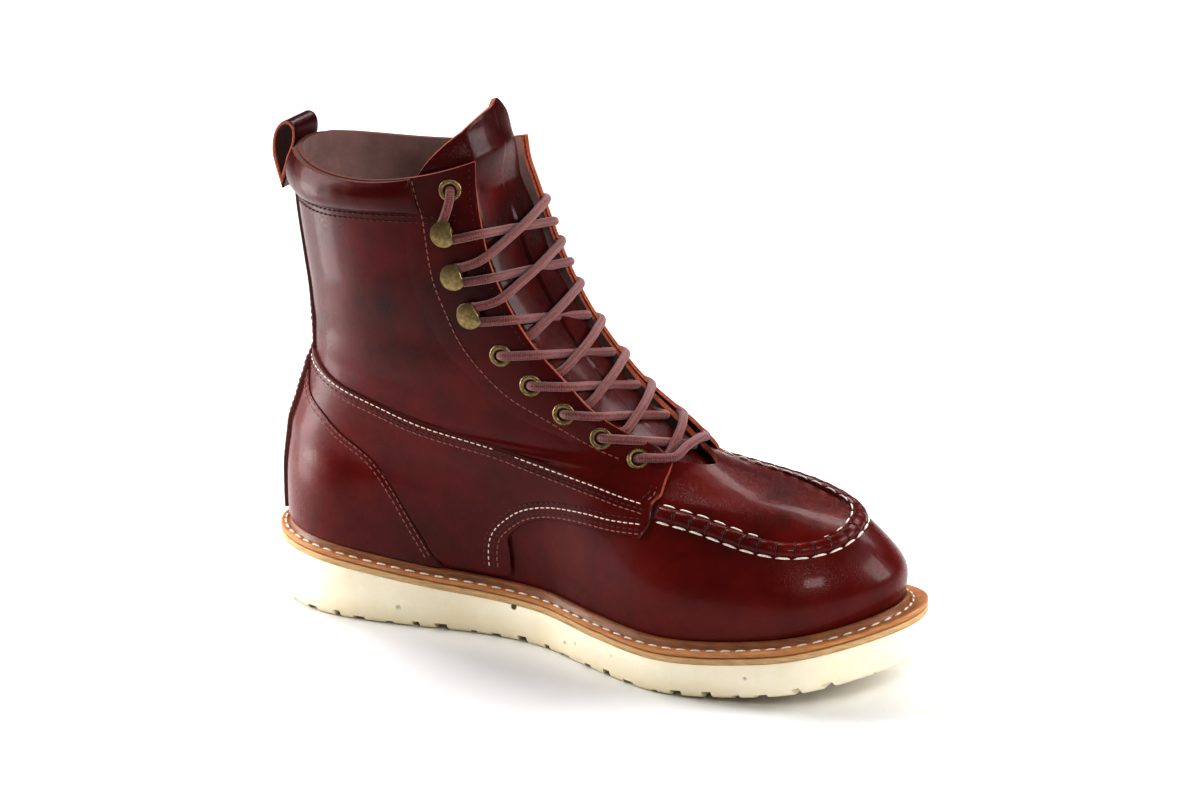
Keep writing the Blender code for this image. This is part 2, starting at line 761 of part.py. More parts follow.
def make_pull_loop(finish):
    """Folded strap standing behind the collar, a teardrop seen from the side."""
    low = layer(0.0, 15.45, collar_press)[2]
    face = layer(0.0, 16.0, collar_press)[0] - clearance + loop_nearer

    def drop(width, height, raise_by, y):
        ring = []
        for k in range(18):
            turn = 2 * math.pi * k / 18
            up = height * (1 - math.cos(turn)) / 2
            out = 0.66 * width * math.sin(turn) * math.sin(turn / 2) ** 1.2
            ring.append((face - loop_depth / 2 + out, y, low + raise_by + up))
        return ring

    half = strap_width / 2
    hole_width = loop_depth - 2 * strap_thick
    hole_height = loop_height - 4.4 * strap_thick
    rings = [
        drop(loop_depth, loop_height, 0, -half),
        drop(loop_depth, loop_height, 0, half),
        drop(hole_width, hole_height, 3.4 * strap_thick, half),
        drop(hole_width, hole_height, 3.4 * strap_thick, -half),
    ]
    return ring_stack("pull_loop", rings, finish, close=True, sharp=50)


def make_collar_roll(finish):
    """Padded roll round the collar, from one eyelet tab to the other."""
    outer, inner = [], []
    reach = math.radians(collar_reach)
    for t in (0.0, 0.15, 0.45, 0.8, 1.0):
        loop = 15.55 + (16.97 - 15.55) * t
        angle = np.linspace(reach, -reach, 23)
        fade = np.clip((1 - np.abs(angle) / reach) * 9, 0, 1) ** 0.5
        bulge = collar_bulge * math.sin(math.pi * (0.06 + 0.80 * t)) ** 0.6 * (0.35 + 0.65 * fade)
        bulge = np.where(np.abs(angle) < math.radians(press_reach), collar_press, bulge)
        loops = np.full(angle.shape, loop)
        outer.append(layer(angle, loops, bulge))
        inner.append(layer(angle, loops, np.full(angle.shape, -wall)))
    return overlay("collar_roll", np.array(outer), np.array(inner), finish)


def make_toe_seam(finish):
    """Raised roll where the plug is sewn to the vamp."""
    turns = np.linspace(0, 1, 27)
    loops = smooth(TOE_SEAM, 1, turns)
    angle = np.radians(-seam_turn - (360 - 2 * seam_turn) * turns)
    path = layer(angle, loops, np.zeros(angle.shape))
    normal = outward(angle, loops)
    ahead = np.gradient(path, axis=0)
    ahead /= np.linalg.norm(ahead, axis=1, keepdims=True)
    across = np.cross(normal, ahead)
    rings = []
    for k in range(len(turns)):
        ring = []
        for side, up in ((-0.5, -0.6), (-0.5, 0.2), (-0.25, 0.9), (0.25, 0.9), (0.5, 0.2), (0.5, -0.6)):
            ring.append(path[k] + across[k] * toe_roll_width * side + normal[k] * toe_roll_height * up)
        rings.append(ring)
    made = ring_stack("toe_seam", rings, finish)
    return cut(made, make_form(clearance))


def make_tongue(finish):
    """Broad tongue under the facings, curved round the ankle, its top edge slanting to a tip."""
    across = np.linspace(-1, 1, 9)
    outer, inner = [], []
    top = smooth(TONGUE_TOP, 1, across)
    rows = [np.full(across.shape, float(r)) for r in TONGUE_ROWS]
    for t in (0.25, 0.5, 0.75, 1.0):
        rows.append(TONGUE_ROWS[-1] + (top - TONGUE_ROWS[-1]) * t)
    for loops in rows:
        reach = np.where(across < 0, smooth(TONGUE, 1, loops), smooth(TONGUE, 2, loops))
        turn = 180 - (180 - reach) * np.abs(across)
        angle = np.radians(np.where(across < 0, -turn, turn))
        outer.append(across_throat(angle, loops, -wall - tongue_gap))
        inner.append(across_throat(angle, loops, -wall - tongue_gap - tongue_thick))
    return sheet("tongue", np.array(outer), np.array(inner), finish)


def strand(points, sides=5):
    """Rings of a round lace along a smooth curve through its points."""
    rows = [(k, *p) for k, p in enumerate(points)]
    at = np.linspace(0, len(points) - 1, 2 * (len(points) - 1) + 1)
    path = np.column_stack([smooth(rows, c, at) for c in (1, 2, 3)])
    ahead = np.gradient(path, axis=0)
    rings = []
    for centre, direction in zip(path, ahead):
        direction = Vector(direction).normalized()
        across = direction.cross(Vector((0, 0, 1))).normalized()
        up = across.cross(direction)
        ring = []
        for k in range(sides):
            turn = 2 * math.pi * k / sides
            spoke = across * math.cos(turn) + up * math.sin(turn)
            ring.append(Vector(centre) + spoke * lace_width / 2)
        rings.append(ring)
    return rings


def make_laces(finish):
    """Bar at the foot of the throat, crossings up to the top hooks, and the two short ends."""
    stations = EYELETS[:5] + HOOKS
    made = []
    over = lace_width / 2 + 2 * clearance
    edge = eyelet_width / 2 + lace_width / 4
    first = stations[0]
    bar = [
        beside_throat(-1, first[0], first[1] - edge, over),
        beside_throat(-1, first[0], 0.001, over * 1.3),
        beside_throat(1, first[0], -float(throat_half(first[0], 1)), over * 1.5),
        beside_throat(1, first[0], 0.001, over * 1.3),
        beside_throat(1, first[0], first[1] - edge, over),
    ]
    made.append(ring_stack("lace_bar", strand(bar), finish))
    for number, (low, high) in enumerate(zip(stations[:-1], stations[1:]), 1):
        pair = []
        for side in (-1, 1):
            step = high[0] - low[0]
            route = [
                beside_throat(side, low[0] + 0.12 * step, -0.0035, -0.0006),
                beside_throat(side, low[0] + 0.27 * step, -0.0120, over * 0.6),
                beside_throat(side, low[0] + 0.50 * step, -float(throat_half(low[0] + 0.5 * step, side)), over * 1.2),
                beside_throat(-side, low[0] + 0.78 * step, -0.0100, over * 1.35),
                beside_throat(-side, low[0] + 0.93 * step, 0.0005, over * 1.4),
                beside_throat(-side, high[0], high[1] - edge - 0.0006, over),
            ]
            pair.append(ring_stack("lace_crossing_%d" % number, strand(route), finish))
        made.append(cut(pair[0], pair[1], "UNION"))
    top, last = EYELETS[5], HOOKS[2]
    for side, word in ((-1, "medial"), (1, "lateral")):
        run = top[0] - last[0]
        ends = [beside_throat(side, last[0] + share * run, last[1] + (top[1] - last[1]) * share, over)
                for share in (0.34, 0.5, 0.68)]
        made.append(ring_stack("lace_end_" + word, strand(ends), finish))
    return made


def settle():
    """Move everything so that the origin is under the middle of the boot, on the floor."""
    shapes = [item.data for item in bpy.data.objects]
    every = np.array([corner.co[:] for shape in shapes for corner in shape.vertices])
    low, high = every.min(0), every.max(0)
    middle = (low + high) / 2
    for shape in shapes:
        shape.transform(Matrix.Translation((-middle[0], -middle[1], -low[2])))


def main():
    for old in list(bpy.data.objects):
        bpy.data.objects.remove(old, do_unlink=True)
    cream = material("cream rubber", (0.87, 0.79, 0.64), 0.6)
    tan = material("tan leather edge", (0.55, 0.30, 0.14), 0.5)
    oxblood = material("oxblood leather", (0.10, 0.012, 0.010), 0.25)
    lining = material("lining leather", (0.16, 0.09, 0.08), 0.6)
    brass = material("old brass", (0.35, 0.26, 0.10), 0.35, 1.0)
    cord = material("lace cord", (0.16, 0.06, 0.06), 0.8)
    make_outsole(cream)
    make_midsole(tan)
    make_welt(tan)
    make_insole(lining)
    make_upper(oxblood)
    make_counter(oxblood)
    make_saddle("saddle_medial", -1, oxblood)
    make_saddle("saddle_lateral", 1, oxblood)
    make_back_strap(oxblood)
    make_pull_loop(oxblood)
    make_collar_roll(oxblood)
    make_toe_seam(oxblood)
    make_tongue(oxblood)
    for side, word in ((-1, "medial"), (1, "lateral")):
        for number, (loop, beyond) in enumerate(EYELETS, 1):
            make_eyelet("eyelet_%s_%d" % (word, number), side, loop, beyond, brass)
        for number, (loop, beyond) in enumerate(HOOKS, 1):
            make_hook("hook_%s_%d" % (word, number), side, loop, beyond, brass)
    make_laces(cord)
    settle()


main()
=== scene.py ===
import math

import bmesh
import bpy
import numpy as np
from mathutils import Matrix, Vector


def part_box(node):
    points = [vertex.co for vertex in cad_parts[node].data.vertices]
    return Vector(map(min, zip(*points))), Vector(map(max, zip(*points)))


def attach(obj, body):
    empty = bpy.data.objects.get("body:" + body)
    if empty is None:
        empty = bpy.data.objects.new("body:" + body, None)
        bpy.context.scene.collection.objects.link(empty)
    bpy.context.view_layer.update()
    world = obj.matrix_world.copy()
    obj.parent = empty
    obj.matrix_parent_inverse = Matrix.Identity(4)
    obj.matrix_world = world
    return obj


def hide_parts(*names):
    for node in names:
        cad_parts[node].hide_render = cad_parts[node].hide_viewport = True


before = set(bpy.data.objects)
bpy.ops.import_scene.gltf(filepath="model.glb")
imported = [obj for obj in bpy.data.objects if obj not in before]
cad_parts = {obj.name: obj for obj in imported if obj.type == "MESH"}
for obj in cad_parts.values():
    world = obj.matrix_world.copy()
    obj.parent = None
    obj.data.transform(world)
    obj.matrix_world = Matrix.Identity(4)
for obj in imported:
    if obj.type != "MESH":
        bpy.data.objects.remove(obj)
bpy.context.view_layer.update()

print("boot: frame loaded")

# Sizes shared with the solids, in metres
sole = {
    "length": 0.306,
    "ballWidth": 0.109,
    "heelThick": 0.0266,
    "toeSpring": 0.0165,
    "springStart": 0.66,
    "springPower": 1.8,
    "midsoleThick": 0.0025,
    "gap": 0.0003,
}
shaft = {
    "rise": 0.1755,
    "wall": 0.0022,
    "overlay": 0.0017,
    "counter": 0.0022,
    "facing": 0.0013,
    "throatFoot": 8.6,
    "topLoop": 17.0,
}

# Half widths of the sole over the ball width: share, medial, lateral
outlineTable = (
    (0.00, 0.600, 0.560), (0.10, 0.540, 0.435), (0.23, 0.381, 0.358), (0.36, 0.266, 0.371),
    (0.46, 0.270, 0.428), (0.56, 0.388, 0.488), (0.67, 0.517, 0.541), (0.79, 0.578, 0.579),
    (0.90, 0.650, 0.648), (1.00, 0.570, 0.700),
)
# Thickness of the wedge over the heel's: share, thick
wedgeTable = ((0.00, 1.00), (0.12, 0.95), (0.33, 0.69), (0.50, 0.61), (0.68, 0.575), (1.00, 0.61))
# Loops of the upper, from the feather line to the rim
loopNames = ("back", "backUp", "front", "frontUp", "medial", "lateral", "foot", "tuck",
             "heelRound", "toeRound", "sag", "dip")
loopTable = (
    (0.026, 0.002, 0.957, 0.002, 0.340, 0.340, 1.00, 0.064, 1.00, 1.00, 1.00, 0.000),
    (0.021, 0.046, 0.967, 0.048, 0.340, 0.340, 1.00, 0.050, 1.00, 1.00, 1.00, 0.000),
    (0.020, 0.103, 0.968, 0.100, 0.340, 0.340, 0.97, 0.041, 1.00, 1.00, 0.97, 0.000),
    (0.020, 0.160, 0.954, 0.142, 0.348, 0.340, 0.90, 0.041, 1.00, 1.00, 0.85, 0.000),
    (0.023, 0.205, 0.928, 0.182, 0.348, 0.340, 0.72, 0.055, 0.95, 1.00, 0.60, 0.000),
    (0.026, 0.239, 0.896, 0.208, 0.340, 0.330, 0.55, 0.083, 0.90, 1.00, 0.30, 0.000),
    (0.029, 0.274, 0.840, 0.238, 0.335, 0.326, 0.38, 0.110, 0.85, 1.00, 0.15, 0.000),
    (0.034, 0.302, 0.772, 0.262, 0.326, 0.317, 0.26, 0.110, 0.85, 1.00, 0.06, 0.000),
    (0.041, 0.336, 0.716, 0.288, 0.317, 0.307, 0.17, 0.110, 0.85, 1.00, 0.00, 0.000),
    (0.047, 0.370, 0.672, 0.322, 0.312, 0.303, 0.10, 0.110, 0.85, 1.00, 0.00, 0.000),
    (0.058, 0.427, 0.628, 0.405, 0.307, 0.298, 0.05, 0.110, 0.85, 1.00, 0.00, 0.000),
    (0.062, 0.490, 0.580, 0.507, 0.307, 0.298, 0.00, 0.110, 0.85, 1.00, 0.00, 0.000),
    (0.060, 0.553, 0.540, 0.621, 0.312, 0.303, 0.00, 0.110, 0.90, 1.00, 0.00, 0.000),
    (0.057, 0.632, 0.495, 0.738, 0.321, 0.312, 0.00, 0.110, 0.95, 1.00, 0.00, 0.000),
    (0.049, 0.724, 0.460, 0.846, 0.330, 0.321, 0.00, 0.110, 1.00, 1.00, 0.00, 0.010),
    (0.040, 0.838, 0.428, 0.946, 0.335, 0.326, 0.00, 0.110, 1.00, 1.00, 0.00, 0.022),
    (0.038, 0.912, 0.405, 1.003, 0.340, 0.330, 0.00, 0.110, 1.00, 1.00, 0.00, 0.030),
    (0.041, 1.000, 0.392, 1.054, 0.344, 0.335, 0.00, 0.110, 1.00, 1.00, 0.00, 0.040),
)
numberedLoops = tuple((number,) + row for number, row in enumerate(loopTable))
# Half width of the throat over the ball width: loop, medial, lateral
throatTable = (
    (8.60, 0.000, 0.000), (8.80, 0.095, 0.095), (9.30, 0.142, 0.142), (10.0, 0.200, 0.195),
    (11.0, 0.226, 0.215), (12.0, 0.249, 0.236), (13.0, 0.258, 0.243), (14.0, 0.260, 0.245),
    (15.0, 0.247, 0.240), (16.0, 0.230, 0.228), (17.0, 0.217, 0.217),
)


def unit(ways):
    return ways / np.linalg.norm(ways, axis=-1, keepdims=True)


def lengthAlong(points):
    # distance from a polyline's start to each of its points
    return np.concatenate([[0], np.cumsum(np.linalg.norm(np.diff(points, axis=0), axis=1))])


def readAlong(at, run, values):
    return np.column_stack([np.interp(at, run, values[:, i]) for i in range(3)])


def softStep(value):
    inside = np.clip(value, 0, 1)
    return inside * inside * (3 - 2 * inside)


def smooth(table, column, at):
    # smooth curve through a table's first column and the one asked for, straight beyond its ends
    xs = np.array([row[0] for row in table], float)
    ys = np.array([row[column] for row in table], float)
    slope = np.diff(ys) / np.diff(xs)
    tangent = np.concatenate([slope[:1], (slope[:-1] + slope[1:]) / 2, slope[-1:]])
    at = np.asarray(at, float)
    k = np.clip(np.searchsorted(xs, at, side="right") - 1, 0, len(xs) - 2)
    width = xs[k + 1] - xs[k]
    t = (at - xs[k]) / width
    inside = np.clip(t, 0, 1)
    a = 2 * inside**3 - 3 * inside**2 + 1
    b = inside**3 - 2 * inside**2 + inside
    c = -2 * inside**3 + 3 * inside**2
    d = inside**3 - inside**2
    value = a * ys[k] + b * width * tangent[k] + c * ys[k + 1] + d * width * tangent[k + 1]
    return value + (t - inside) * width * np.where(t > 1, tangent[k + 1], tangent[k])


def soleRise(share):
    run = np.clip((np.asarray(share, float) - sole["springStart"]) / (1 - sole["springStart"]), 0, None)
    return sole["toeSpring"] * run ** sole["springPower"]


def wedgeTop(share):
    return soleRise(share) + sole["heelThick"] * smooth(wedgeTable, 1, share)


def midsoleTop(share):
    return wedgeTop(share) + sole["midsoleThick"] + sole["gap"]


def halfOutline(share, side):
    return sole["ballWidth"] * smooth(outlineTable, 1 if side < 0 else 2, share)


def outlineRing(count, inset, height):
    # ring round the sole from toe to heel and back
    turn = 2 * math.pi * np.arange(count) / count - math.pi
    share = (1 - np.cos(turn)) / 2
    half = np.where(turn < 0, halfOutline(share, -1), halfOutline(share, 1)) * np.abs(np.sin(turn))
    ring = np.column_stack([share * sole["length"], np.where(turn < 0, -1, 1) * half])
    return raiseRing(ring, -inset, height)


def raiseRing(ring, offset, height):
    ahead = np.roll(ring, -1, 0) - np.roll(ring, 1, 0)
    normal = unit(np.stack([ahead[:, 1], -ahead[:, 0]], 1))
    if np.sum(normal * (ring - ring.mean(0))) < 0:
        normal = -normal
    ring = ring + normal * np.reshape(offset, (-1, 1))
    return np.column_stack([ring, height(ring[:, 0] / sole["length"])])


# The solids' origin is under the middle of the boot, the tables start at the heel
cadOutline = outlineRing(52, 0.0, lambda share: share * 0)
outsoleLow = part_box("outsole")[0]
shift = np.array([outsoleLow[0], outsoleLow[1] - cadOutline[:, 1].min(), 0.0])


def halfWidth(angle, s):
    # the wall's distance from the middle line, from an oval above to the sole's outline below
    share = (1 - np.cos(angle)) / 2
    x = s["back"] + (s["front"] - s["back"]) * share
    power = np.where(np.abs(angle) < math.pi / 2, s["heelRound"], s["toeRound"])
    arch = np.abs(np.sin(angle)) ** power
    oval = np.where(angle < 0, s["medial"], s["lateral"]) * sole["ballWidth"]
    footprint = np.where(angle < 0, halfOutline(x, -1), halfOutline(x, 1)) - s["tuck"] * sole["ballWidth"]
    return arch * (oval + (footprint - oval) * s["foot"])


def loopSizes(loop):
    return {name: smooth(numberedLoops, 1 + i, loop) for i, name in enumerate(loopNames)}


def skin(angle, loop):
    # angle 0 at the back, pi at the front, negative on the medial side
    angle, loop = np.broadcast_arrays(np.asarray(angle, float), np.asarray(loop, float))
    angle = (angle + math.pi) % (2 * math.pi) - math.pi
    s = loopSizes(loop)
    share = (1 - np.cos(angle)) / 2
    x = s["back"] + (s["front"] - s["back"]) * share
    y = np.where(angle < 0, -1, 1) * halfWidth(angle, s)
    heel, toe = midsoleTop(0.0), midsoleTop(1.0)
    chord = heel + (toe - heel) * x
    sink = midsoleTop(x) - chord
    sinkFront = midsoleTop(s["front"]) - (heel + (toe - heel) * s["front"])
    up = s["backUp"] + (s["frontUp"] - s["backUp"]) * share**2 - s["dip"] * 4 * share * (1 - share)
    z = chord + s["sag"] * (sink - share * sinkFront * (1 - s["sag"])) + up * shaft["rise"]
    return np.stack([x * sole["length"], y, z], -1) + shift


def outward(angle, loop):
    step = 1e-3
    around = skin(np.add(angle, step), loop) - skin(np.subtract(angle, step), loop)
    upward = skin(angle, np.add(loop, step)) - skin(angle, np.subtract(loop, step))
    return unit(np.cross(upward, around))


def layer(angle, loop, offset):
    # places over the wall, or inside it where the offset is negative
    return skin(angle, loop) + outward(angle, loop) * np.asarray(offset, float)[..., None]


def frontAngle(loop, side, half):
    # angle in the front half where the wall is a given distance from the middle line
    loop, half = np.broadcast_arrays(np.asarray(loop, float), np.asarray(half, float))
    s = loopSizes(loop)
    low = np.full(loop.shape, math.pi / 2)
    high = np.full(loop.shape, math.pi)
    for _ in range(24):
        middle = (low + high) / 2
        wide = halfWidth(side * middle, s) > half
        low = np.where(wide, middle, low)
        high = np.where(wide, high, middle)
    return np.where(half > 0, (low + high) / 2, math.pi)


def throatHalf(loop, side):
    # half width of the throat's opening, none under its foot
    half = smooth(throatTable, 1 if side < 0 else 2, loop) * sole["ballWidth"]
    return np.where(np.asarray(loop) > shaft["throatFoot"], np.maximum(half, 0), 0)


def throatAngle(loop, side):
    return frontAngle(loop, side, throatHalf(loop, side))


def acrossThroat(angle, loop, offset, crown=0.40):
    # flattened between the throat's edges, as a taut tongue lies
    angle, loop, offset = np.broadcast_arrays(np.asarray(angle, float), np.asarray(loop, float),
                                              np.asarray(offset, float))
    point = layer(angle, loop, offset)
    for side in (-1, 1):
        edge = throatAngle(np.minimum(loop, shaft["topLoop"]), side)
        rim = layer(side * edge, loop, offset)
        inside = (np.sign(angle) == side) & (np.abs(angle) > edge)
        for axis in (0, 2):
            flat = rim[..., axis] + (point[..., axis] - rim[..., axis]) * crown
            point[..., axis] = np.where(inside, flat, point[..., axis])
    return point


def besideThroat(side, loop, beyond, offset):
    # a distance outside the throat's edge along the skin, or inside it where negative
    if beyond <= 0:
        half = max(float(throatHalf(loop, side)) + beyond, 0)
        return acrossThroat(side * frontAngle(loop, side, half), loop, offset)
    edge = float(throatAngle(loop, side))
    angles = np.linspace(edge, edge - 1.2, 121)
    path = skin(side * angles, np.full(121, float(loop)))
    return layer(side * np.interp(beyond, lengthAlong(path), angles), loop, offset)


# Node helpers for the finishes
def startMaterial(name, roughness, metallic=0.0):
    made = bpy.data.materials.new(name)
    made.use_nodes = True
    shader = made.node_tree.nodes["Principled BSDF"]
    shader.inputs["Roughness"].default_value = roughness
    shader.inputs["Metallic"].default_value = metallic
    return made, made.node_tree, shader


def addNode(tree, kind, settings=None, **sockets):
    # sockets are named by their labels, with underscores for spaces
    node = tree.nodes.new(kind)
    for key, value in (settings or {}).items():
        setattr(node, key, value)
    for key, value in sockets.items():
        socket = node.inputs[key.replace("_", " ")]
        if isinstance(value, bpy.types.NodeSocket):
            tree.links.new(value, socket)
        else:
            socket.default_value = value
    return node


def noise(tree, where, scale, detail=4.0, roughness=0.55, distortion=0.0):
    node = addNode(tree, "ShaderNodeTexNoise", Vector=where, Scale=scale, Detail=detail,
                   Roughness=roughness, Distortion=distortion)
    return node.outputs["Fac"]


def ramp(tree, fac, stops):
    node = addNode(tree, "ShaderNodeValToRGB", Fac=fac)
    marks = node.color_ramp.elements
    while len(marks) < len(stops):
        marks.new(0.5)
    for mark, (place, colour) in zip(marks, stops):
        mark.position = place
        mark.color = (*colour, 1) if len(colour) == 3 else colour
    return node.outputs["Color"]


def paint(tree, shader, fac, *stops):
    tree.links.new(ramp(tree, fac, stops), shader.inputs["Base Color"])


def mix(tree, fac, first, second):
    node = addNode(tree, "ShaderNodeMix", {"data_type": "RGBA"})
    for value, socket in ((fac, node.inputs[0]), (first, node.inputs[6]), (second, node.inputs[7])):
        if isinstance(value, bpy.types.NodeSocket):
            tree.links.new(value, socket)
        else:
            socket.default_value = (*value, 1) if isinstance(value, tuple) else value
    return node.outputs[2]


def reach(tree, value, low, high, toLow, toHigh):
    node = addNode(tree, "ShaderNodeMapRange", Value=value, From_Min=low, From_Max=high,
                   To_Min=toLow, To_Max=toHigh)
    return node.outputs["Result"]


def mathNode(tree, operation, first, second=0.0):
    node = tree.nodes.new("ShaderNodeMath")
    node.operation = operation
    for value, socket in zip((first, second), node.inputs):
        if isinstance(value, bpy.types.NodeSocket):
            tree.links.new(value, socket)
        else:
            socket.default_value = value
    return node.outputs[0]


def addBump(tree, shader, height, strength, distance, under=None):
    node = addNode(tree, "ShaderNodeBump", Height=height, Strength=strength, Distance=distance)
    if under is not None:
        tree.links.new(under, node.inputs["Normal"])
    tree.links.new(node.outputs["Normal"], shader.inputs["Normal"])
    return node.outputs["Normal"]


def objectPlace(tree):
    return addNode(tree, "ShaderNodeTexCoord").outputs["Object"]


# Oiled oxblood leather: tone drifts slowly, grain and pull-up are fine
leatherLook = {
    "dark": (0.024, 0.0010, 0.0007),
    "middle": (0.098, 0.0044, 0.0026),
    "light": (0.175, 0.0120, 0.0058),
    "paintedShadeFrom": 0.092,  # height where the shaft's painted shade begins, and where it is full
    "paintedShadeTo": 0.140,
    "paintedShadeDepth": 0.16,
    "roughLow": 0.17,
    "roughHigh": 0.25,
    "specular": 0.13,
    "coat": 0.16,
    "grainSize": 1150.0,
    "grainDepth": 0.00012,
    "creaseSize": 95.0,
    "creaseStrength": 0.12,
}


def makeLeather(name, tone=1.0):
    made, tree, shader = startMaterial(name, 0.28)
    place = objectPlace(tree)
    drift = noise(tree, place, 16.0, 5.0, 0.6, 0.6)
    mottle = noise(tree, place, 75.0, 6.0, 0.65)
    both = mathNode(tree, "ADD", mathNode(tree, "MULTIPLY", drift, 0.72),
                    mathNode(tree, "MULTIPLY", mottle, 0.28))
    # painted shade: the leather's colour darkens higher up the shaft
    height = addNode(tree, "ShaderNodeSeparateXYZ", Vector=place).outputs["Z"]
    shade = reach(tree, height, leatherLook["paintedShadeFrom"], leatherLook["paintedShadeTo"], 0.0,
                  leatherLook["paintedShadeDepth"])
    both = mathNode(tree, "SUBTRACT", both, shade)
    shades = [tuple(c * tone for c in leatherLook[key]) for key in ("dark", "middle", "light")]
    paint(tree, shader, both, (0.22, shades[0]), (0.50, shades[1]), (0.80, shades[2]))
    rough = reach(tree, noise(tree, place, 140.0, 5.0), 0.3, 0.7, leatherLook["roughLow"],
                  leatherLook["roughHigh"])
    tree.links.new(rough, shader.inputs["Roughness"])
    shader.inputs["Coat Weight"].default_value = leatherLook["coat"]
    shader.inputs["Coat Roughness"].default_value = 0.12
    shader.inputs["Specular IOR Level"].default_value = leatherLook["specular"]
    cells = addNode(tree, "ShaderNodeTexVoronoi", {"feature": "DISTANCE_TO_EDGE"}, Vector=place,
                    Scale=leatherLook["grainSize"])
    grain = reach(tree, cells.outputs["Distance"], 0.0, 0.25, 0.0, 1.0)
    first = addBump(tree, shader, grain, 0.35, leatherLook["grainDepth"])
    wrinkle = noise(tree, place, leatherLook["creaseSize"], 7.0, 0.62, 0.4)
    addBump(tree, shader, wrinkle, leatherLook["creaseStrength"], 0.0011, first)
    return made


def makeEdge(name, low, high):
    # raw cut edge, with fibres
    made, tree, shader = startMaterial(name, 0.78)
    place = objectPlace(tree)
    fibre = noise(tree, place, 900.0, 6.0, 0.7)
    paint(tree, shader, fibre, (0.32, low), (0.68, high))
    addBump(tree, shader, fibre, 0.6, 0.0004)
    return made


def makeLining(name, low, high):
    made, tree, shader = startMaterial(name, 0.55)
    place = objectPlace(tree)
    drift = noise(tree, place, 40.0, 6.0, 0.6)
    paint(tree, shader, drift, (0.30, low), (0.70, high))
    shader.inputs["Sheen Weight"].default_value = 0.15
    addBump(tree, shader, noise(tree, place, 320.0, 6.0), 0.4, 0.0005)
    return made


def makeThread(name, low, high):
    made, tree, shader = startMaterial(name, 0.7)
    place = objectPlace(tree)
    twist = noise(tree, place, 1600.0, 3.0)
    paint(tree, shader, twist, (0.25, low), (0.60, high))
    addBump(tree, shader, twist, 0.5, 0.0002)
    return made


def makeBrass(name):
    made, tree, shader = startMaterial(name, 0.34, 1.0)
    place = objectPlace(tree)
    age = noise(tree, place, 520.0, 6.0, 0.65)
    paint(tree, shader, age, (0.26, (0.12, 0.085, 0.036)), (0.66, (0.38, 0.285, 0.135)))
    tree.links.new(reach(tree, age, 0.3, 0.7, 0.48, 0.26), shader.inputs["Roughness"])
    addBump(tree, shader, noise(tree, place, 1300.0, 3.0), 0.25, 0.0002)
    return made


def makeLaceCloth(name):
    # round braid, from the lace's own lengthwise and round coordinates
    made, tree, shader = startMaterial(name, 0.82)
    place = addNode(tree, "ShaderNodeTexCoord").outputs["UV"]
    split = addNode(tree, "ShaderNodeSeparateXYZ", Vector=place)
    along, aroundLace = split.outputs["X"], split.outputs["Y"]
    waves = []
    for operation in ("ADD", "SUBTRACT"):  # strands wind both ways
        turns = mathNode(tree, operation, along, aroundLace)
        waves.append(mathNode(tree, "SINE", mathNode(tree, "MULTIPLY", turns, 2 * math.pi)))
    braid = mathNode(tree, "MULTIPLY", *waves)
    fuzz = noise(tree, objectPlace(tree), 1400.0, 4.0)
    shade = mathNode(tree, "ADD", mathNode(tree, "MULTIPLY", braid, 0.22), fuzz)
    paint(tree, shader, shade, (0.28, (0.090, 0.022, 0.021)), (0.72, (0.290, 0.090, 0.082)))
    shader.inputs["Sheen Weight"].default_value = 0.35
    addBump(tree, shader, shade, 0.45, 0.0004)
    return made


def makeRubber(name):
    made, tree, shader = startMaterial(name, 0.62)
    place = objectPlace(tree)
    drift = noise(tree, place, 55.0, 6.0, 0.6)
    base = ramp(tree, drift, ((0.30, (0.90, 0.80, 0.60)), (0.70, (0.95, 0.885, 0.72))))
    height = addNode(tree, "ShaderNodeSeparateXYZ", Vector=place).outputs["Z"]
    low = reach(tree, height, 0.0, 0.011, 0.5, 0.0)  # darker and yellower towards the floor
    lowerDarkened = mix(tree, low, base, (0.72, 0.60, 0.36))
    cells = addNode(tree, "ShaderNodeTexVoronoi", Vector=place, Scale=120.0)
    rare = noise(tree, place, 48.0, 2.0)
    fleck = reach(tree, cells.outputs["Distance"], 0.13, 0.20, 1.0, 0.0)
    spot = mathNode(tree, "MULTIPLY", fleck, reach(tree, rare, 0.57, 0.62, 0.0, 1.0))
    colour = mix(tree, spot, lowerDarkened, (0.10, 0.055, 0.03))
    tree.links.new(colour, shader.inputs["Base Color"])
    first = addBump(tree, shader, noise(tree, place, 520.0, 6.0, 0.65), 0.45, 0.0004)
    addBump(tree, shader, noise(tree, place, 120.0, 3.0), 0.25, 0.0008, first)
    return made


def makeLayerEdge(name, low, high, stripe):
    # stacked leather, streaked along its length
    made, tree, shader = startMaterial(name, 0.5)
    place = objectPlace(tree)
    split = addNode(tree, "ShaderNodeSeparateXYZ", Vector=place)
    flat = addNode(tree, "ShaderNodeCombineXYZ", X=mathNode(tree, "MULTIPLY", split.outputs["X"], 0.25),
                   Y=mathNode(tree, "MULTIPLY", split.outputs["Y"], 0.25),
                   Z=mathNode(tree, "MULTIPLY", split.outputs["Z"], stripe))
    streak = noise(tree, flat.outputs["Vector"], 420.0, 6.0, 0.65)
    paint(tree, shader, streak, (0.30, low), (0.72, high))
    shader.inputs["Coat Weight"].default_value = 0.12
    addBump(tree, shader, streak, 0.35, 0.0004)
    return made


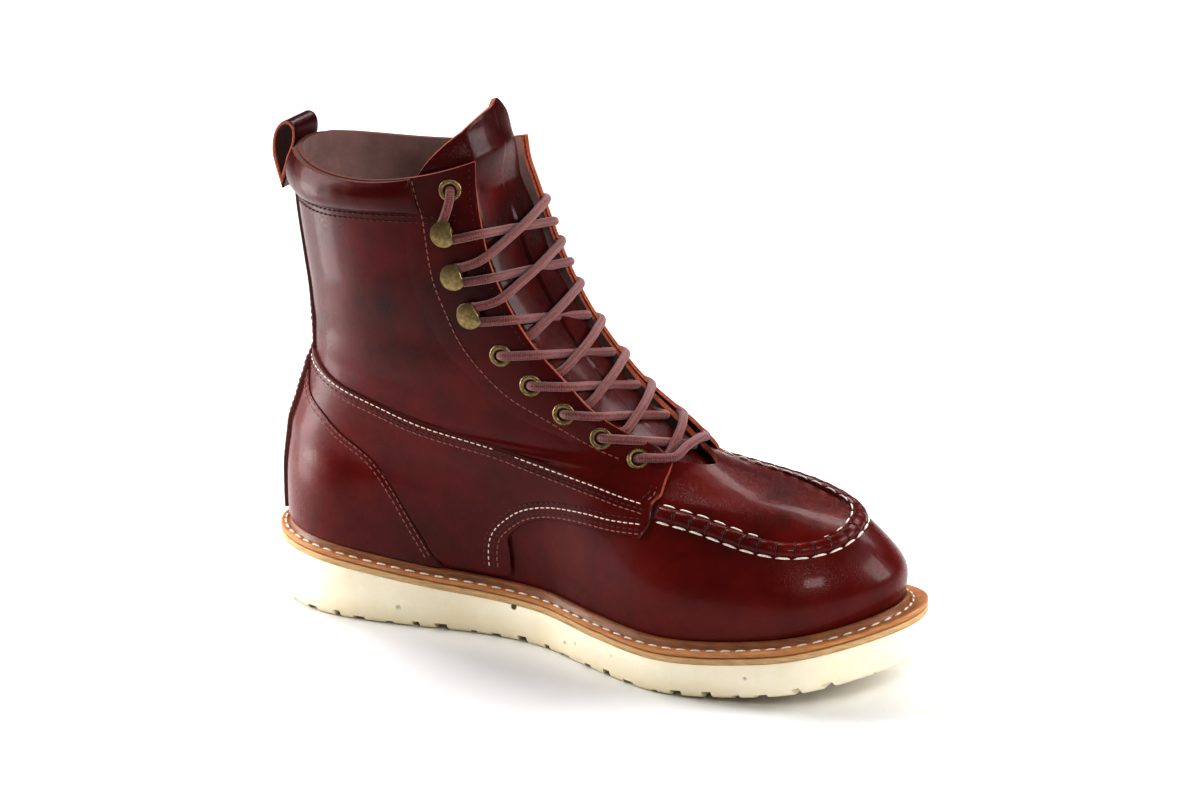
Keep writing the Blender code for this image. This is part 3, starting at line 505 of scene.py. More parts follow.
finishes = {
    "leather": makeLeather("oxbloodLeather"),
    # darker copy of the leather: painted shade for undersides and the toe roll's foot
    "leatherShaded": makeLeather("oxbloodLeatherShaded", 0.86),
    "edge": makeEdge("rawLeatherEdge", (0.155, 0.030, 0.014), (0.50, 0.115, 0.042)),
    "edgeDark": makeEdge("darkLeatherEdge", (0.050, 0.012, 0.010), (0.16, 0.040, 0.022)),
    "lining": makeLining("liningLeather", (0.17, 0.092, 0.083), (0.36, 0.215, 0.190)),
    "threadWhite": makeThread("whiteThread", (0.50, 0.43, 0.34), (0.90, 0.84, 0.74)),
    "threadDark": makeThread("darkThread", (0.020, 0.006, 0.006), (0.075, 0.022, 0.018)),
    "threadRose": makeThread("roseThread", (0.12, 0.032, 0.026), (0.36, 0.14, 0.11)),
    "brass": makeBrass("agedBrass"),
    "lace": makeLaceCloth("laceBraid"),
    "rubber": makeRubber("creamRubber"),
    "midsole": makeLayerEdge("midsoleLayer", (0.42, 0.24, 0.095), (0.72, 0.50, 0.26), 3.0),
    "welt": makeLayerEdge("weltLeather", (0.34, 0.125, 0.040), (0.62, 0.29, 0.10), 2.0),
    # the rib is the welt leather painted darker: partly its own colour, partly painted shade beside the upper
    "rib": makeLayerEdge("stormRibShaded", (0.150, 0.052, 0.020), (0.36, 0.145, 0.052), 2.0),
    # near-black finish for the eyelets' floors: painted shadow in the holes
    "hole": makeEdge("eyeletShadow", (0.004, 0.002, 0.002), (0.012, 0.005, 0.004)),
}
print("boot: finishes made")


# Mesh helpers
def makePiece(name, points, faces, materials, body="root", replaced=(), angle=45,
              marks=None, uvs=None):
    # one object from its points and faces, riding on a body; marks give each face's material
    mesh = bpy.data.meshes.new(name)
    points = np.asarray(points, float)
    mesh.from_pydata(points.tolist(), [], [tuple(map(int, face)) for face in faces])
    for item in materials:
        mesh.materials.append(item)
    if marks is not None:
        mesh.polygons.foreach_set("material_index", np.asarray(marks, dtype=np.int32))
    if uvs is not None:
        uvLayer = mesh.uv_layers.new(name="UVMap")
        corners = np.zeros(len(mesh.loops), dtype=np.int32)
        mesh.loops.foreach_get("vertex_index", corners)
        uvLayer.data.foreach_set("uv", np.asarray(uvs, float)[corners].ravel())
    shape = bmesh.new()
    shape.from_mesh(mesh)
    bmesh.ops.remove_doubles(shape, verts=shape.verts, dist=1e-6)
    bmesh.ops.recalc_face_normals(shape, faces=shape.faces)
    shape.to_mesh(mesh)
    shape.free()
    mesh.shade_smooth()
    mesh.set_sharp_from_angle(angle=math.radians(angle))
    made = bpy.data.objects.new(name, mesh)
    bpy.context.collection.objects.link(made)
    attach(made, body)
    if replaced:
        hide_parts(*replaced)
    return made


def gridFaces(rows, columns, start=0, wrap=False):
    row, column = np.meshgrid(np.arange(rows - 1), np.arange(columns if wrap else columns - 1), indexing="ij")
    after = (column + 1) % columns
    a = start + row * columns + column
    b = start + row * columns + after
    return np.stack([a, b, b + columns, a + columns], -1).reshape(-1, 4)


def closingBand(rows, count):
    # faces from the last ring of a stack back to its first
    last = (rows - 1) * count
    return [(last + c, last + (c + 1) % count, (c + 1) % count, c) for c in range(count)]


def sheetPiece(name, outer, inner, looks, replaced=(), angle=45, lips=(1, 1, 1, 1)):
    # closed leather sheet; looks names the finishes of its face, edge and back, and of its last row's edge
    # lips says on how many outermost strips the raw edge shows: first row, last row, sides
    rows, columns = outer.shape[:2]
    half = rows * columns
    points = np.concatenate([outer.reshape(-1, 3), inner.reshape(-1, 3)])
    front = gridFaces(rows, columns)
    back = gridFaces(rows, columns, half)[:, ::-1]
    grid = np.zeros((rows - 1, columns - 1), int)
    if lips[0]:
        grid[:lips[0]] = 1
    if lips[1]:
        grid[-lips[1]:] = 1
    if lips[2]:
        grid[:, :lips[2]] = 1
    if lips[3]:
        grid[:, -lips[3]:] = 1
    faces = [front, back]
    marks = [grid.ravel(), np.full(len(back), 2)]
    meets = np.linalg.norm(outer[:, 0] - outer[:, -1], axis=1) < 1e-6
    c = np.arange(columns - 1)
    for row in (0, rows - 1):
        a = row * columns + c
        faces.append(np.stack([a, a + 1, a + 1 + half, a + half], -1))
        marks.append(np.full(columns - 1, 3 if row and len(looks) > 3 else 1))
    r = np.arange(rows - 1)
    r = r[~(meets[:-1] & meets[1:])]
    for column in (0, columns - 1):
        a = r * columns + column
        faces.append(np.stack([a, a + columns, a + columns + half, a + half], -1))
        marks.append(np.ones(len(r), int))
    return makePiece(name, points, np.concatenate(faces), [finishes[look] for look in looks], "root",
                     replaced, angle, np.concatenate(marks))


def lipSpread(count, width, lip=0.0006):
    # shares across a sheet with two close lines at each end, for its rounded edge
    inner = np.linspace(lip / width, 1 - lip / width, count)
    return np.concatenate([[0, 0.3 * lip / width], inner, [1 - 0.3 * lip / width, 1]])


def lipHeight(shares, thick):
    # full thickness but for the two end lines
    rise = np.full(len(shares), thick)
    rise[0] = rise[-1] = thick * 0.10
    rise[1] = rise[-2] = thick * 0.80
    return rise


def bothLips(rows, columns, thick):
    return np.minimum(lipHeight(rows, thick)[:, None], lipHeight(columns, thick)[None, :])


def stringAlong(points, offsetWay, spacing, startGap=0.0):
    # evenly spaced places along a polyline, with its direction and outward way
    run = lengthAlong(points)
    at = np.arange(startGap, run[-1], spacing)
    glance = 0.0008  # how far ahead and behind the direction is read
    ahead = readAlong(np.minimum(at + glance, run[-1]), run, points)
    behind = readAlong(np.maximum(at - glance, 0), run, points)
    along = unit(ahead - behind)
    up = readAlong(at, run, offsetWay)
    up -= along * np.sum(up * along, axis=1, keepdims=True)
    return readAlong(at, run, points), along, unit(up)


stitchShape = {"rings": 6, "sides": 6, "squash": 0.8}


def stitchRow(name, points, up, finish, pitch, length, thick, startGap=0.0, sink=0.35, slant=0.0):
    # one joined mesh of lens-shaped stitches along a line
    centre, along, up = stringAlong(points, up, pitch, startGap)
    across = np.cross(up, along)
    t = np.linspace(-1, 1, stitchShape["rings"])
    turn = 2 * math.pi * np.arange(stitchShape["sides"]) / stitchShape["sides"]
    swell = np.sqrt(np.clip(1 - 0.94 * t**4, 0, 1))
    drop = -sink * thick * np.abs(t) ** 3
    count = len(centre)
    lengthwise = (t * length / 2)[None, :, None, None]
    radial = swell[None, :, None, None] * thick / 2
    side = across + along * slant
    ring = (centre[:, None, None, :] + along[:, None, None, :] * lengthwise
            + across[:, None, None, :] * (radial * np.cos(turn)[None, None, :, None])
            + side[:, None, None, :] * (lengthwise * slant)
            + up[:, None, None, :] * (radial * np.sin(turn)[None, None, :, None] * stitchShape["squash"]
                                      + drop[None, :, None, None]))
    per = stitchShape["rings"] * stitchShape["sides"]
    one = gridFaces(stitchShape["rings"], stitchShape["sides"], 0, True)
    caps = [tuple(range(stitchShape["sides"])), tuple(range(per - stitchShape["sides"], per))]
    faces = [tuple(face + k * per) for k in range(count) for face in one]
    faces += [tuple(i + k * per for i in cap) for k in range(count) for cap in caps]
    return makePiece(name, ring.reshape(-1, 3), faces, [finish], "root", angle=80)


def wallLine(pairs, offset, samples=160):
    # smooth line over the wall through (degrees, loop) pairs, and its outward way
    steps = np.linspace(0, len(pairs) - 1, samples)
    angle = np.radians(smooth([(i, a) for i, (a, b) in enumerate(pairs)], 1, steps))
    loop = smooth([(i, b) for i, (a, b) in enumerate(pairs)], 1, steps)
    return layer(angle, loop, np.full(samples, offset)), outward(angle, loop)


def mirrored(pairs):
    return tuple((-angle, loop) for angle, loop in pairs)


sides = ((-1, "medial"), (1, "lateral"))

# Upper: one wall, dented where the leather creases
upperLook = {
    "columns": 230,
    "plugDrop": -0.0015,  # the plug lies flatter than the wall under it
    "plugPlace": (172, 22),  # degrees round the boot, and half width
    "farSeamRise": 0.0022,  # the far seam stands prouder
    "farSeamPlace": (148, 14),
    "creases": (
        # degrees, loop, half length in degrees, half width in loops, depth (minus for a ridge)
        (-96, 8.9, 26, 0.30, 0.0007),
        (-104, 8.0, 22, 0.26, -0.0006),
        (-60, 10.6, 24, 0.35, 0.0006),
        (-88, 12.2, 26, 0.55, 0.0007),
        (-70, 13.6, 30, 0.60, -0.0006),
        (-30, 12.0, 22, 0.50, 0.0006),
        (96, 8.9, 24, 0.30, 0.0007),
        (70, 10.8, 24, 0.40, 0.0006),
        (88, 12.4, 26, 0.55, 0.0006),
        (40, 12.8, 26, 0.60, -0.0005),
        (134, 7.2, 14, 0.22, 0.0005),
    ),
}
# Toe seam: share of its way from the medial end round the toe, and loop
toeSeamTable = (
    (0.00, 5.50), (0.06, 5.25), (0.14, 4.60), (0.22, 4.28), (0.32, 4.32), (0.42, 4.62), (0.50, 4.82),
    (0.58, 4.86), (0.66, 4.84), (0.70, 4.96), (0.75, 5.25), (0.80, 5.52), (0.86, 5.75), (0.94, 5.92),
    (1.00, 6.00),
)
seamTurn = 119.0  # degrees from the back to the seam's ends


def seamLoop(angle):
    # loop of the toe seam at an angle, for what is inside it
    degrees = np.degrees(np.asarray(angle, float))
    turn = np.where(degrees < 0, -degrees - seamTurn, 360 - degrees - seamTurn) / (360 - 2 * seamTurn)
    return smooth(toeSeamTable, 1, np.clip(turn, 0, 1))


def wallRelief(angle, loop):
    # creases, the flatter plug and the prouder far seam
    wrapped = (np.asarray(angle) + math.pi) % (2 * math.pi) - math.pi
    relief = np.zeros(np.broadcast(wrapped, loop).shape)
    for degrees, row, wide, tall, depth in upperLook["creases"]:
        away = ((np.degrees(wrapped) - degrees) / wide) ** 2 + ((loop - row) / tall) ** 2
        relief -= depth * np.exp(-away * 1.4)
    degrees = np.degrees(wrapped)
    beyond = loop - seamLoop(wrapped)
    around = np.where(degrees < 0, 360 + degrees, degrees)
    plugMiddle, plugWide = upperLook["plugPlace"]
    seamMiddle, seamWide = upperLook["farSeamPlace"]
    inPlug = softStep(beyond / 1.3) * softStep((9.6 - loop) / 2.2)
    inPlug *= np.exp(-(((around - plugMiddle) / plugWide) ** 2))
    nearFar = np.exp(-((beyond / 0.7) ** 2)) * np.exp(-(((around - seamMiddle) / seamWide) ** 2))
    return relief + upperLook["plugDrop"] * inPlug + upperLook["farSeamRise"] * nearFar


def skinOver(angle, loop, offset):
    return layer(angle, loop, wallRelief(angle, loop) + offset)


def upperRows():
    # close rows where the throat opens
    return np.concatenate([
        np.linspace(0, shaft["throatFoot"], 88),
        shaft["throatFoot"] + 0.7 * np.linspace(0, 1, 22)[1:] ** 2,
        np.linspace(9.3, shaft["topLoop"], 60)[1:],
    ])


def makeUpper():
    rows = upperRows()
    lateral = throatAngle(rows, 1)[:, None]
    medial = throatAngle(rows, -1)[:, None]
    count = np.linspace(0, 1, upperLook["columns"] + 1)[None, :]
    angle = lateral - (lateral + medial) * count
    loop = np.broadcast_to(rows[:, None], angle.shape)
    outer = skinOver(angle, loop, 0.0)
    inner = skinOver(angle, loop, -shaft["wall"])
    return sheetPiece("upperWall", outer, inner, ("leather", "edge", "lining", "edgeDark"), ("upper",),
                      lips=(0, 0, 0, 0))


makeUpper()
print("boot: upper made")

# Panels that lie on the wall
counterEdge = (
    (0.85, 65.5), (1.40, 64.0), (3.20, 59.5), (5.00, 55.0), (5.85, 52.0), (7.20, 44.5), (8.50, 33.0),
    (9.75, 18.0), (10.2, 13.0),
)
saddleTable = (
    # share, lowLoop, lowAngle, topLoop, topAngle
    (0.00, 10.20, 13.0, 10.75, 13.0),
    (0.10, 8.50, 33.0, 10.40, 26.0),
    (0.20, 7.20, 44.5, 10.00, 38.0),
    (0.30, 5.60, 52.8, 9.75, 48.0),
    (0.38, 3.90, 57.6, 9.60, 56.0),
    (0.46, 2.10, 62.2, 9.38, 64.0),
    (0.52, 1.02, 65.9, 9.20, 70.5),
    (0.56, 0.92, 72.5, 9.05, 75.0),
    (0.60, 1.02, 79.0, 8.90, 79.0),
    (0.64, 1.90, 78.5, 8.68, 84.5),
    (0.70, 2.80, 79.8, 8.35, 91.5),
    (0.76, 3.60, 84.8, 7.95, 98.0),
    (0.82, 4.05, 91.5, 7.50, 104.0),
    (0.90, 4.22, 101.5, 6.85, 111.5),
    (1.00, 4.35, 111.5, 6.05, 121.0),
)
facingEdge = (
    # loop, degrees of the facing's front edge below the eyelets
    (5.00, 114.8), (6.05, 121.5), (6.60, 128.0), (7.60, 138.5), (8.40, 148.0), (8.80, 152.5), (9.10, 154.0),
)
panelLook = {"columns": 130, "rows": 46, "counterRows": 70, "counterLow": 0.75, "counterTop": 10.15,
             "sunk": 0.0004, "flare": 0.0018}


def makeCounter():
    # heel counter, from edge to edge round the back
    rows = lipSpread(panelLook["counterRows"], 0.075)
    columns = lipSpread(60, 0.10)
    low, top = panelLook["counterLow"], panelLook["counterTop"]
    loop = (low + (top - low) * rows)[:, None]
    angle = np.radians(smooth(counterEdge, 1, loop)) * (1 - 2 * columns)[None, :]
    loop = np.broadcast_to(loop, angle.shape)
    rise = bothLips(rows, columns, shaft["counter"])
    return sheetPiece("heelCounter", skinOver(angle, loop, rise), skinOver(angle, loop, -panelLook["sunk"]),
                      ("leather", "edgeDark", "edgeDark"), ("heel_counter",))


def makeSaddle(side, word):
    # side panel with the wing seam's curve in its lower edge
    shares = lipSpread(panelLook["columns"], 0.19)
    rows = lipSpread(panelLook["rows"], 0.045)
    lowLoop = smooth(saddleTable, 1, shares)
    lowAngle = np.radians(smooth(saddleTable, 2, shares))
    topLoop = smooth(saddleTable, 3, shares)
    topAngle = np.radians(smooth(saddleTable, 4, shares))
    loop = lowLoop[None, :] + (topLoop - lowLoop)[None, :] * rows[:, None]
    angle = side * (lowAngle[None, :] + (topAngle - lowAngle)[None, :] * rows[:, None])
    rise = bothLips(rows, shares, shaft["overlay"])
    name = "saddle_" + word
    return sheetPiece(name, skinOver(angle, loop, rise), skinOver(angle, loop, -panelLook["sunk"]),
                      ("leather", "edgeDark", "edge"), (name,))


facingLook = {"startLoop": 5.9, "cornerLoop": 9.1, "cornerFade": 0.6, "reach": 34, "flareFar": 1.7}


def makeFacing(side, word):
    # outer layer along the throat, whose front corner overlaps the vamp
    cornerLoop = facingLook["cornerLoop"]
    faded = cornerLoop + facingLook["cornerFade"]
    rows = np.concatenate([np.linspace(facingLook["startLoop"], cornerLoop, 60),
                           np.linspace(cornerLoop, faded, 16)[1:],
                           np.linspace(faded, shaft["topLoop"], 90)[1:]])
    fromThroat = throatAngle(rows, side)
    corner = np.radians(smooth(facingEdge, 1, np.minimum(rows, cornerLoop)))
    blend = softStep((rows - facingLook["cornerLoop"]) / facingLook["cornerFade"])
    alongThroat = fromThroat + math.radians(0.6)
    edge = np.where(rows < cornerLoop, corner, corner * (1 - blend) + alongThroat * blend)
    columns = np.concatenate([[0, 0.012, 0.03], np.linspace(0.06, 1, 24)])
    fade = shaft["facing"] * np.clip((1 - columns) / 0.75, 0, 1) ** 0.8
    fade[0] *= 0.15
    fade[1] *= 0.85
    width = math.radians(facingLook["reach"])
    flare = panelLook["flare"] * (1.0 if side < 0 else facingLook["flareFar"])
    flare = flare * np.exp(-((rows - 8.9) / 1.5) ** 2)
    flare = flare[:, None] * np.clip(1 - columns / 0.45, 0, 1)[None, :] ** 1.6
    angle = side * (edge[:, None] - width * columns[None, :])
    loop = np.broadcast_to(rows[:, None], angle.shape)
    rise = np.broadcast_to(fade[None, :], angle.shape).copy()
    rise[0] *= 0.1
    # the back is the darker leather copy: painted shade under the flap
    return sheetPiece("facing_" + word, skinOver(angle, loop, rise + flare),
                      skinOver(angle, loop, flare - panelLook["sunk"] * 2),
                      ("leather", "edge", "leatherShaded"), lips=(0, 0, 1, 0))


def backAngle(loop, across):
    # angle in the back half at a distance across the middle line
    side = np.where(across < 0, -1, 1)
    s = loopSizes(loop)
    low = np.zeros(np.broadcast(loop, across).shape)
    high = np.full(low.shape, math.pi / 2)
    for _ in range(24):
        middle = (low + high) / 2
        short = halfWidth(side * middle, s) < np.abs(across)
        low = np.where(short, middle, low)
        high = np.where(short, high, middle)
    return side * low


strapLook = {"width": 0.020, "thick": 0.0016, "gap": 0.0009, "loopHeight": 0.028, "loopDepth": 0.0112,
             "seatLoop": 15.45, "faceLoop": 16.0, "press": 0.0009, "lean": 0.20, "raise": 0.0026,
             "nearer": 0.0007, "fromLoop": 1.0, "toLoop": 15.4, "stepLoop": 10.9, "stepOver": 0.8,
             "bendHeight": 0.012}


def strapHeight(loop):
    # the strap steps down from the counter to the saddle and the bare wall
    over = np.clip((strapLook["stepLoop"] - loop) / strapLook["stepOver"], 0, 1)
    return (shaft["counter"] + strapLook["gap"] * 0.5) * over


def makeBackStrap():
    columns = lipSpread(18, strapLook["width"])
    loops = np.linspace(strapLook["fromLoop"], strapLook["toLoop"], 110)[:, None]
    across = strapLook["width"] / 2 * (1 - 2 * columns)[None, :]
    loops, across = np.broadcast_arrays(loops, across)
    angle = backAngle(loops, across)
    rise = lipHeight(columns, strapLook["thick"])[None, :] + strapHeight(loops)
    return sheetPiece("backStrap", skinOver(angle, loops, rise), skinOver(angle, loops, -panelLook["sunk"]),
                      ("leather", "edgeDark", "edgeDark"), ("back_strap",), lips=(1, 0, 1, 1))


def makePullLoop():
    # strap folded into an upright loop, as rings across its width
    low = layer(0.0, strapLook["seatLoop"], strapLook["press"])[2]
    face = layer(0.0, strapLook["faceLoop"], strapLook["press"])[0] - sole["gap"] + strapLook["nearer"]
    turns = 2 * math.pi * np.arange(90) / 90
    columns = lipSpread(14, strapLook["width"])
    y = strapLook["width"] / 2 * (2 * columns - 1)

    def drop(width, height, raiseBy):
        up = height * (1 - np.cos(turns)) / 2
        out = 0.66 * width * np.sin(turns) * np.sin(turns / 2) ** 1.2
        return face - strapLook["loopDepth"] / 2 + out, low + raiseBy + up

    thick = strapLook["thick"]
    outerX, outerZ = drop(strapLook["loopDepth"], strapLook["loopHeight"], 0)
    innerX, innerZ = drop(strapLook["loopDepth"] - 2 * thick, strapLook["loopHeight"] - 4.4 * thick,
                          3.4 * thick)
    half = len(columns)
    full = lipHeight(columns, 1.0)
    keeps = np.concatenate([0.5 + 0.5 * full, 0.5 - 0.5 * full[::-1]])  # outer face, then inner face
    points = np.array([np.column_stack([innerX + (outerX - innerX) * keep, np.full(90, span),
                                        innerZ + (outerZ - innerZ) * keep])
                       for keep, span in zip(keeps, np.concatenate([y, y[::-1]]))])
    points[..., 1] += shift[1]
    bend = strapLook["bendHeight"]  # the loop leans above this height over its seat
    above = np.clip(points[..., 2] - low - bend, 0, None)
    points[..., 0] += strapLook["lean"] * above
    points[..., 2] += strapLook["raise"] * np.clip((points[..., 2] - low) / bend, 0, 1)
    total = len(points)
    faces, marks = [], []
    for r in range(total):
        raw = r in (0, half - 2, half - 1, half, total - 2, total - 1)
        for c in range(90):
            a, b = r * 90 + c, r * 90 + (c + 1) % 90
            d, e = ((r + 1) % total) * 90 + c, ((r + 1) % total) * 90 + (c + 1) % 90
            faces.append((a, b, e, d))
            marks.append(1 if raw else 2 if r >= half else 0)
    return makePiece("pullLoop", points.reshape(-1, 3), faces,
                     [finishes["leather"], finishes["edge"], finishes["edgeDark"]], "root",
                     ("pull_loop",), 50, marks)


collarLook = {"topLoop": 16.97, "bulge": 0.0052, "reach": 109.0, "pressReach": 22.0, "puckers": 34,
              "puckerDepth": 0.00005}
collarSeam = ((0, 15.66), (51, 15.74), (77, 15.84), (96, 15.72), (109, 15.52), (118, 15.36), (132, 15.20))


def collarRise(angle, t):
    # padding over the collar, pressed flat where the pull loop is sewn on
    halfSpan = math.radians(collarLook["reach"])
    fade = np.clip((1 - np.abs(angle) / halfSpan) * 9, 0, 1) ** 0.5
    bulge = collarLook["bulge"] * np.sin(math.pi * (0.04 + 0.86 * t)) ** 0.62 * (0.35 + 0.65 * fade)
    near = softStep((np.degrees(np.abs(angle)) - collarLook["pressReach"] + 4) / 7)
    bulge = strapLook["press"] + (bulge - strapLook["press"]) * near
    pucker = collarLook["puckerDepth"] * np.sin(angle * collarLook["puckers"]) * np.sin(math.pi * t) * near
    return np.maximum(bulge, 0.0002) + pucker


def makeCollar():
    t = np.linspace(0, 1, 26)[:, None]
    halfSpan = math.radians(collarLook["reach"])
    angle = np.linspace(halfSpan, -halfSpan, 240)[None, :]
    t, angle = np.broadcast_arrays(t, angle)
    low = smooth(collarSeam, 1, np.degrees(np.abs(angle))) + 0.06
    loop = low + (collarLook["topLoop"] - low) * t
    outer = skinOver(angle, loop, collarRise(angle, t))
    inner = skinOver(angle, loop, -panelLook["sunk"])
    made = sheetPiece("collarRoll", outer, inner, ("leather", "edgeDark", "lining"), ("collar_roll",),
                      lips=(0, 0, 0, 0))
    return made


makeCounter()
for side, word in sides:
    makeSaddle(side, word)
    makeFacing(side, word)
makeBackStrap()
makePullLoop()
makeCollar()
print("boot: panels made")

# Moc toe: a pleated roll with a stitch to each pleat
rollLook = {"width": 0.0068, "height": 0.0029, "pleatPitch": 0.0078, "pleatDepth": 0.00045,
            "pleatWidth": 0.0004, "samples": 900, "profile": 15, "outward": 0.0008, "puff": 0.04}


def rollPath(samples, across=0.0, rise=0.0):
    # line beside the toe seam, with its outward way, its way across and its length
    turns = np.linspace(0, 1, samples)
    loops = smooth(toeSeamTable, 1, turns)
    angle = np.radians(-seamTurn - (360 - 2 * seamTurn) * turns)
    path = skinOver(angle, loops, 0.0)
    normal = outward(angle, loops)
    sideways = np.cross(normal, unit(np.gradient(path, axis=0)))
    return (path + sideways * (across + rollLook["outward"]) + normal * rise, normal, sideways,
            lengthAlong(path))


def rollDome(q):
    # height over the roll's width, from -1 to 1
    return (1 - np.abs(q) ** 2.4) ** 0.55


def makeToeRoll():
    path, normal, sideways, run = rollPath(rollLook["samples"])
    beat = (run + rollLook["pleatPitch"] / 2) % rollLook["pleatPitch"] - rollLook["pleatPitch"] / 2
    groove = np.exp(-(beat / rollLook["pleatWidth"]) ** 2)
    beatTurn = beat / rollLook["pleatPitch"] * 2 * math.pi
    swell = 1 - rollLook["puff"] + rollLook["puff"] * np.cos(beatTurn + math.pi)
    rings = []
    for q in np.linspace(-1, 1, rollLook["profile"]):
        dome = rollDome(q)
        high = rollLook["height"] * dome * swell - rollLook["pleatDepth"] * groove * (0.35 + 0.65 * dome)
        rings.append(path + sideways * (rollLook["width"] / 2 * q) + normal * (high - 0.0003)[:, None])
    outer = np.array(rings)
    spread = rollLook["width"] / 2 * np.linspace(-1, 1, rollLook["profile"])
    inner = path[None] + sideways[None] * spread[:, None, None] - normal[None] * 0.0012
    # edges and back take the darker leather copy: painted shade at the roll's foot
    return sheetPiece("toeRoll", outer, inner, ("leather", "leatherShaded", "leatherShaded"), ("toe_seam",), 60,
                      lips=(0, 0, 0, 0))


def makeToeThreads():
    share = np.linspace(0, 1, 500)[:, None]
    # the medial side's inner stitches pull down behind the roll
    pulled = 0.0012 * softStep((0.50 - share) / 0.12) * softStep((share - 0.10) / 0.08)
    rows = (
        # name, place over the roll's width, length, thickness, rise
        ("toeOuterThread", -0.57, 0.0064, 0.00110, 0.0006),
        ("toeInnerThread", 0.57, 0.0056, 0.0009, 0.0005 - pulled),
    )
    for name, where, length, thick, rise in rows:
        path, normal, sideways, run = rollPath(500, rollLook["width"] * where, rise)
        stitchRow(name, path, normal, finishes["threadWhite"], rollLook["pleatPitch"], length, thick,
                  rollLook["pleatPitch"] / 2, 0.6, 0.0)
    # dark line laid in each pleat's crease: painted shade in the crease
    path, normal, sideways, run = rollPath(900)
    pleats = []
    for k in range(int(run[-1] / rollLook["pleatPitch"]) + 1):
        at = k * rollLook["pleatPitch"]
        if at > run[-1] - 0.001:
            continue
        centre, up, out = (readAlong(at, run, values)[0] for values in (path, normal, sideways))
        q = np.linspace(-0.96, 0.9, 14)
        dome = rollDome(q)
        high = rollLook["height"] * dome * (1 - 2 * rollLook["puff"])
        high += 0.00005 - rollLook["pleatDepth"] * (0.35 + 0.65 * dome)
        pleats.append(centre + out * (rollLook["width"] / 2 * q)[:, None] + up * high[:, None])
    joinTubes("pleatCreaseShade", pleats, 0.00022, finishes["threadDark"], 5)


def tubeMesh(path, radius, count):
    # rings round a path, carried along it without twist
    path = np.asarray(path, float)
    ahead = unit(np.gradient(path, axis=0))
    ways = [unit(np.cross(ahead[0], (0.13, 0.31, 0.94)))]
    for k in range(1, len(path)):
        ways.append(unit(ways[-1] - ahead[k] * np.dot(ways[-1], ahead[k])))
    ways = np.array(ways)
    other = np.cross(ahead, ways)
    turn = 2 * math.pi * np.arange(count) / count
    spokes = ways[:, None] * np.cos(turn)[None, :, None] + other[:, None] * np.sin(turn)[None, :, None]
    return path[:, None] + spokes * np.reshape(radius, (-1, 1, 1))


def joinTubes(name, paths, radius, finish, count=8, replaced=(), uvPitch=None):
    points, faces, uvs = [], [], []
    start = 0
    for path in paths:
        ring = tubeMesh(path, radius, count)
        points.append(ring.reshape(-1, 3))
        faces += [tuple(face) for face in gridFaces(len(path), count, start, True)]
        faces.append(tuple(start + i for i in range(count)))
        faces.append(tuple(start + (len(path) - 1) * count + i for i in range(count)))
        if uvPitch:
            around = np.arange(count) / count * 3
            u, v = np.meshgrid(lengthAlong(path) / uvPitch, around, indexing="ij")
            uvs.append(np.stack([u, v], -1).reshape(-1, 2))
        start += len(path) * count
    return makePiece(name, np.concatenate(points), faces, [finish], "root", replaced, 60,
                     uvs=np.concatenate(uvs) if uvs else None)


makeToeRoll()
makeToeThreads()
print("boot: toe made")

# Tongue
tongueTable = (
    (8.35, 158, 158), (8.80, 150, 150), (9.40, 138, 138), (10.2, 129, 129), (11.2, 124, 124),
    (12.2, 120, 121), (13.2, 119, 122), (14.2, 118, 125), (15.2, 117, 132), (16.2, 113, 142),
    (17.2, 109, 151), (18.2, 106, 157), (19.2, 104, 160),
)
tongueTop = ((-1.00, 16.9), (-0.85, 17.5), (-0.60, 18.15), (-0.30, 18.6), (0.00, 18.85), (0.35, 19.0),
             (0.75, 18.95), (1.00, 18.4))
tongueLook = {"gap": 0.0036, "thick": 0.0024, "lowLoop": 8.35, "rows": 90, "columns": 60, "crown": 0.15,
              "wave": 0.0006, "edgeRound": 0.0009, "freeLoop": 15.6, "freeOver": 1.6}


def makeTongue():
    # broad flap under the lacing, its slanting top standing free
    columns = lipSpread(tongueLook["columns"], 0.06)
    across = (2 * columns - 1)[None, :]
    t = lipSpread(tongueLook["rows"], 0.15)[:, None]
    top = smooth(tongueTop, 1, across)
    loops = tongueLook["lowLoop"] + (top - tongueLook["lowLoop"]) * t
    turn = np.where(across < 0, smooth(tongueTable, 1, loops), smooth(tongueTable, 2, loops))
    turn = 180 - (180 - turn) * np.abs(across)
    angle = np.radians(np.where(across < 0, -turn, turn))
    # the flap stands free above the lacing
    lift = np.clip((loops - tongueLook["freeLoop"]) / tongueLook["freeOver"], 0, 1)
    base = -shaft["wall"] - tongueLook["gap"] * (1 - 0.5 * lift)
    wave = tongueLook["wave"] * np.sin(loops * 3.1 + across * 1.4) * np.clip((loops - 9) / 2, 0, 1)
    edge = bothLips(t.ravel(), columns, tongueLook["edgeRound"]) - tongueLook["edgeRound"]
    crown = tongueLook["crown"] + 0.35 * lift
    outer = acrossThroat(angle, loops, base + wave + edge, crown)
    inner = acrossThroat(angle, loops, base + wave - tongueLook["thick"], crown)
    return sheetPiece("tongueFlap", outer, inner, ("leather", "edge", "lining"), ("tongue",))


makeTongue()
print("boot: tongue made")

# Hardware
# loop, and distance from the throat's edge
eyeletPlaces = ((8.95, 0.0168), (9.58, 0.0164), (10.20, 0.0146), (10.95, 0.0160), (11.75, 0.0163),
                (16.20, 0.0110))
hookPlaces = ((12.80, 0.0156), (13.80, 0.0150), (14.80, 0.0150))
eyeletLook = {"outer": 0.0049, "hole": 0.0025, "height": 0.0012, "beads": 26, "beadSize": 0.00042,
              "seat": 0.0010}
hookLook = {"disc": 0.0058, "height": 0.0063, "stem": 0.0018, "thick": 0.0009, "flat": 0.62, "flatSide": -1}


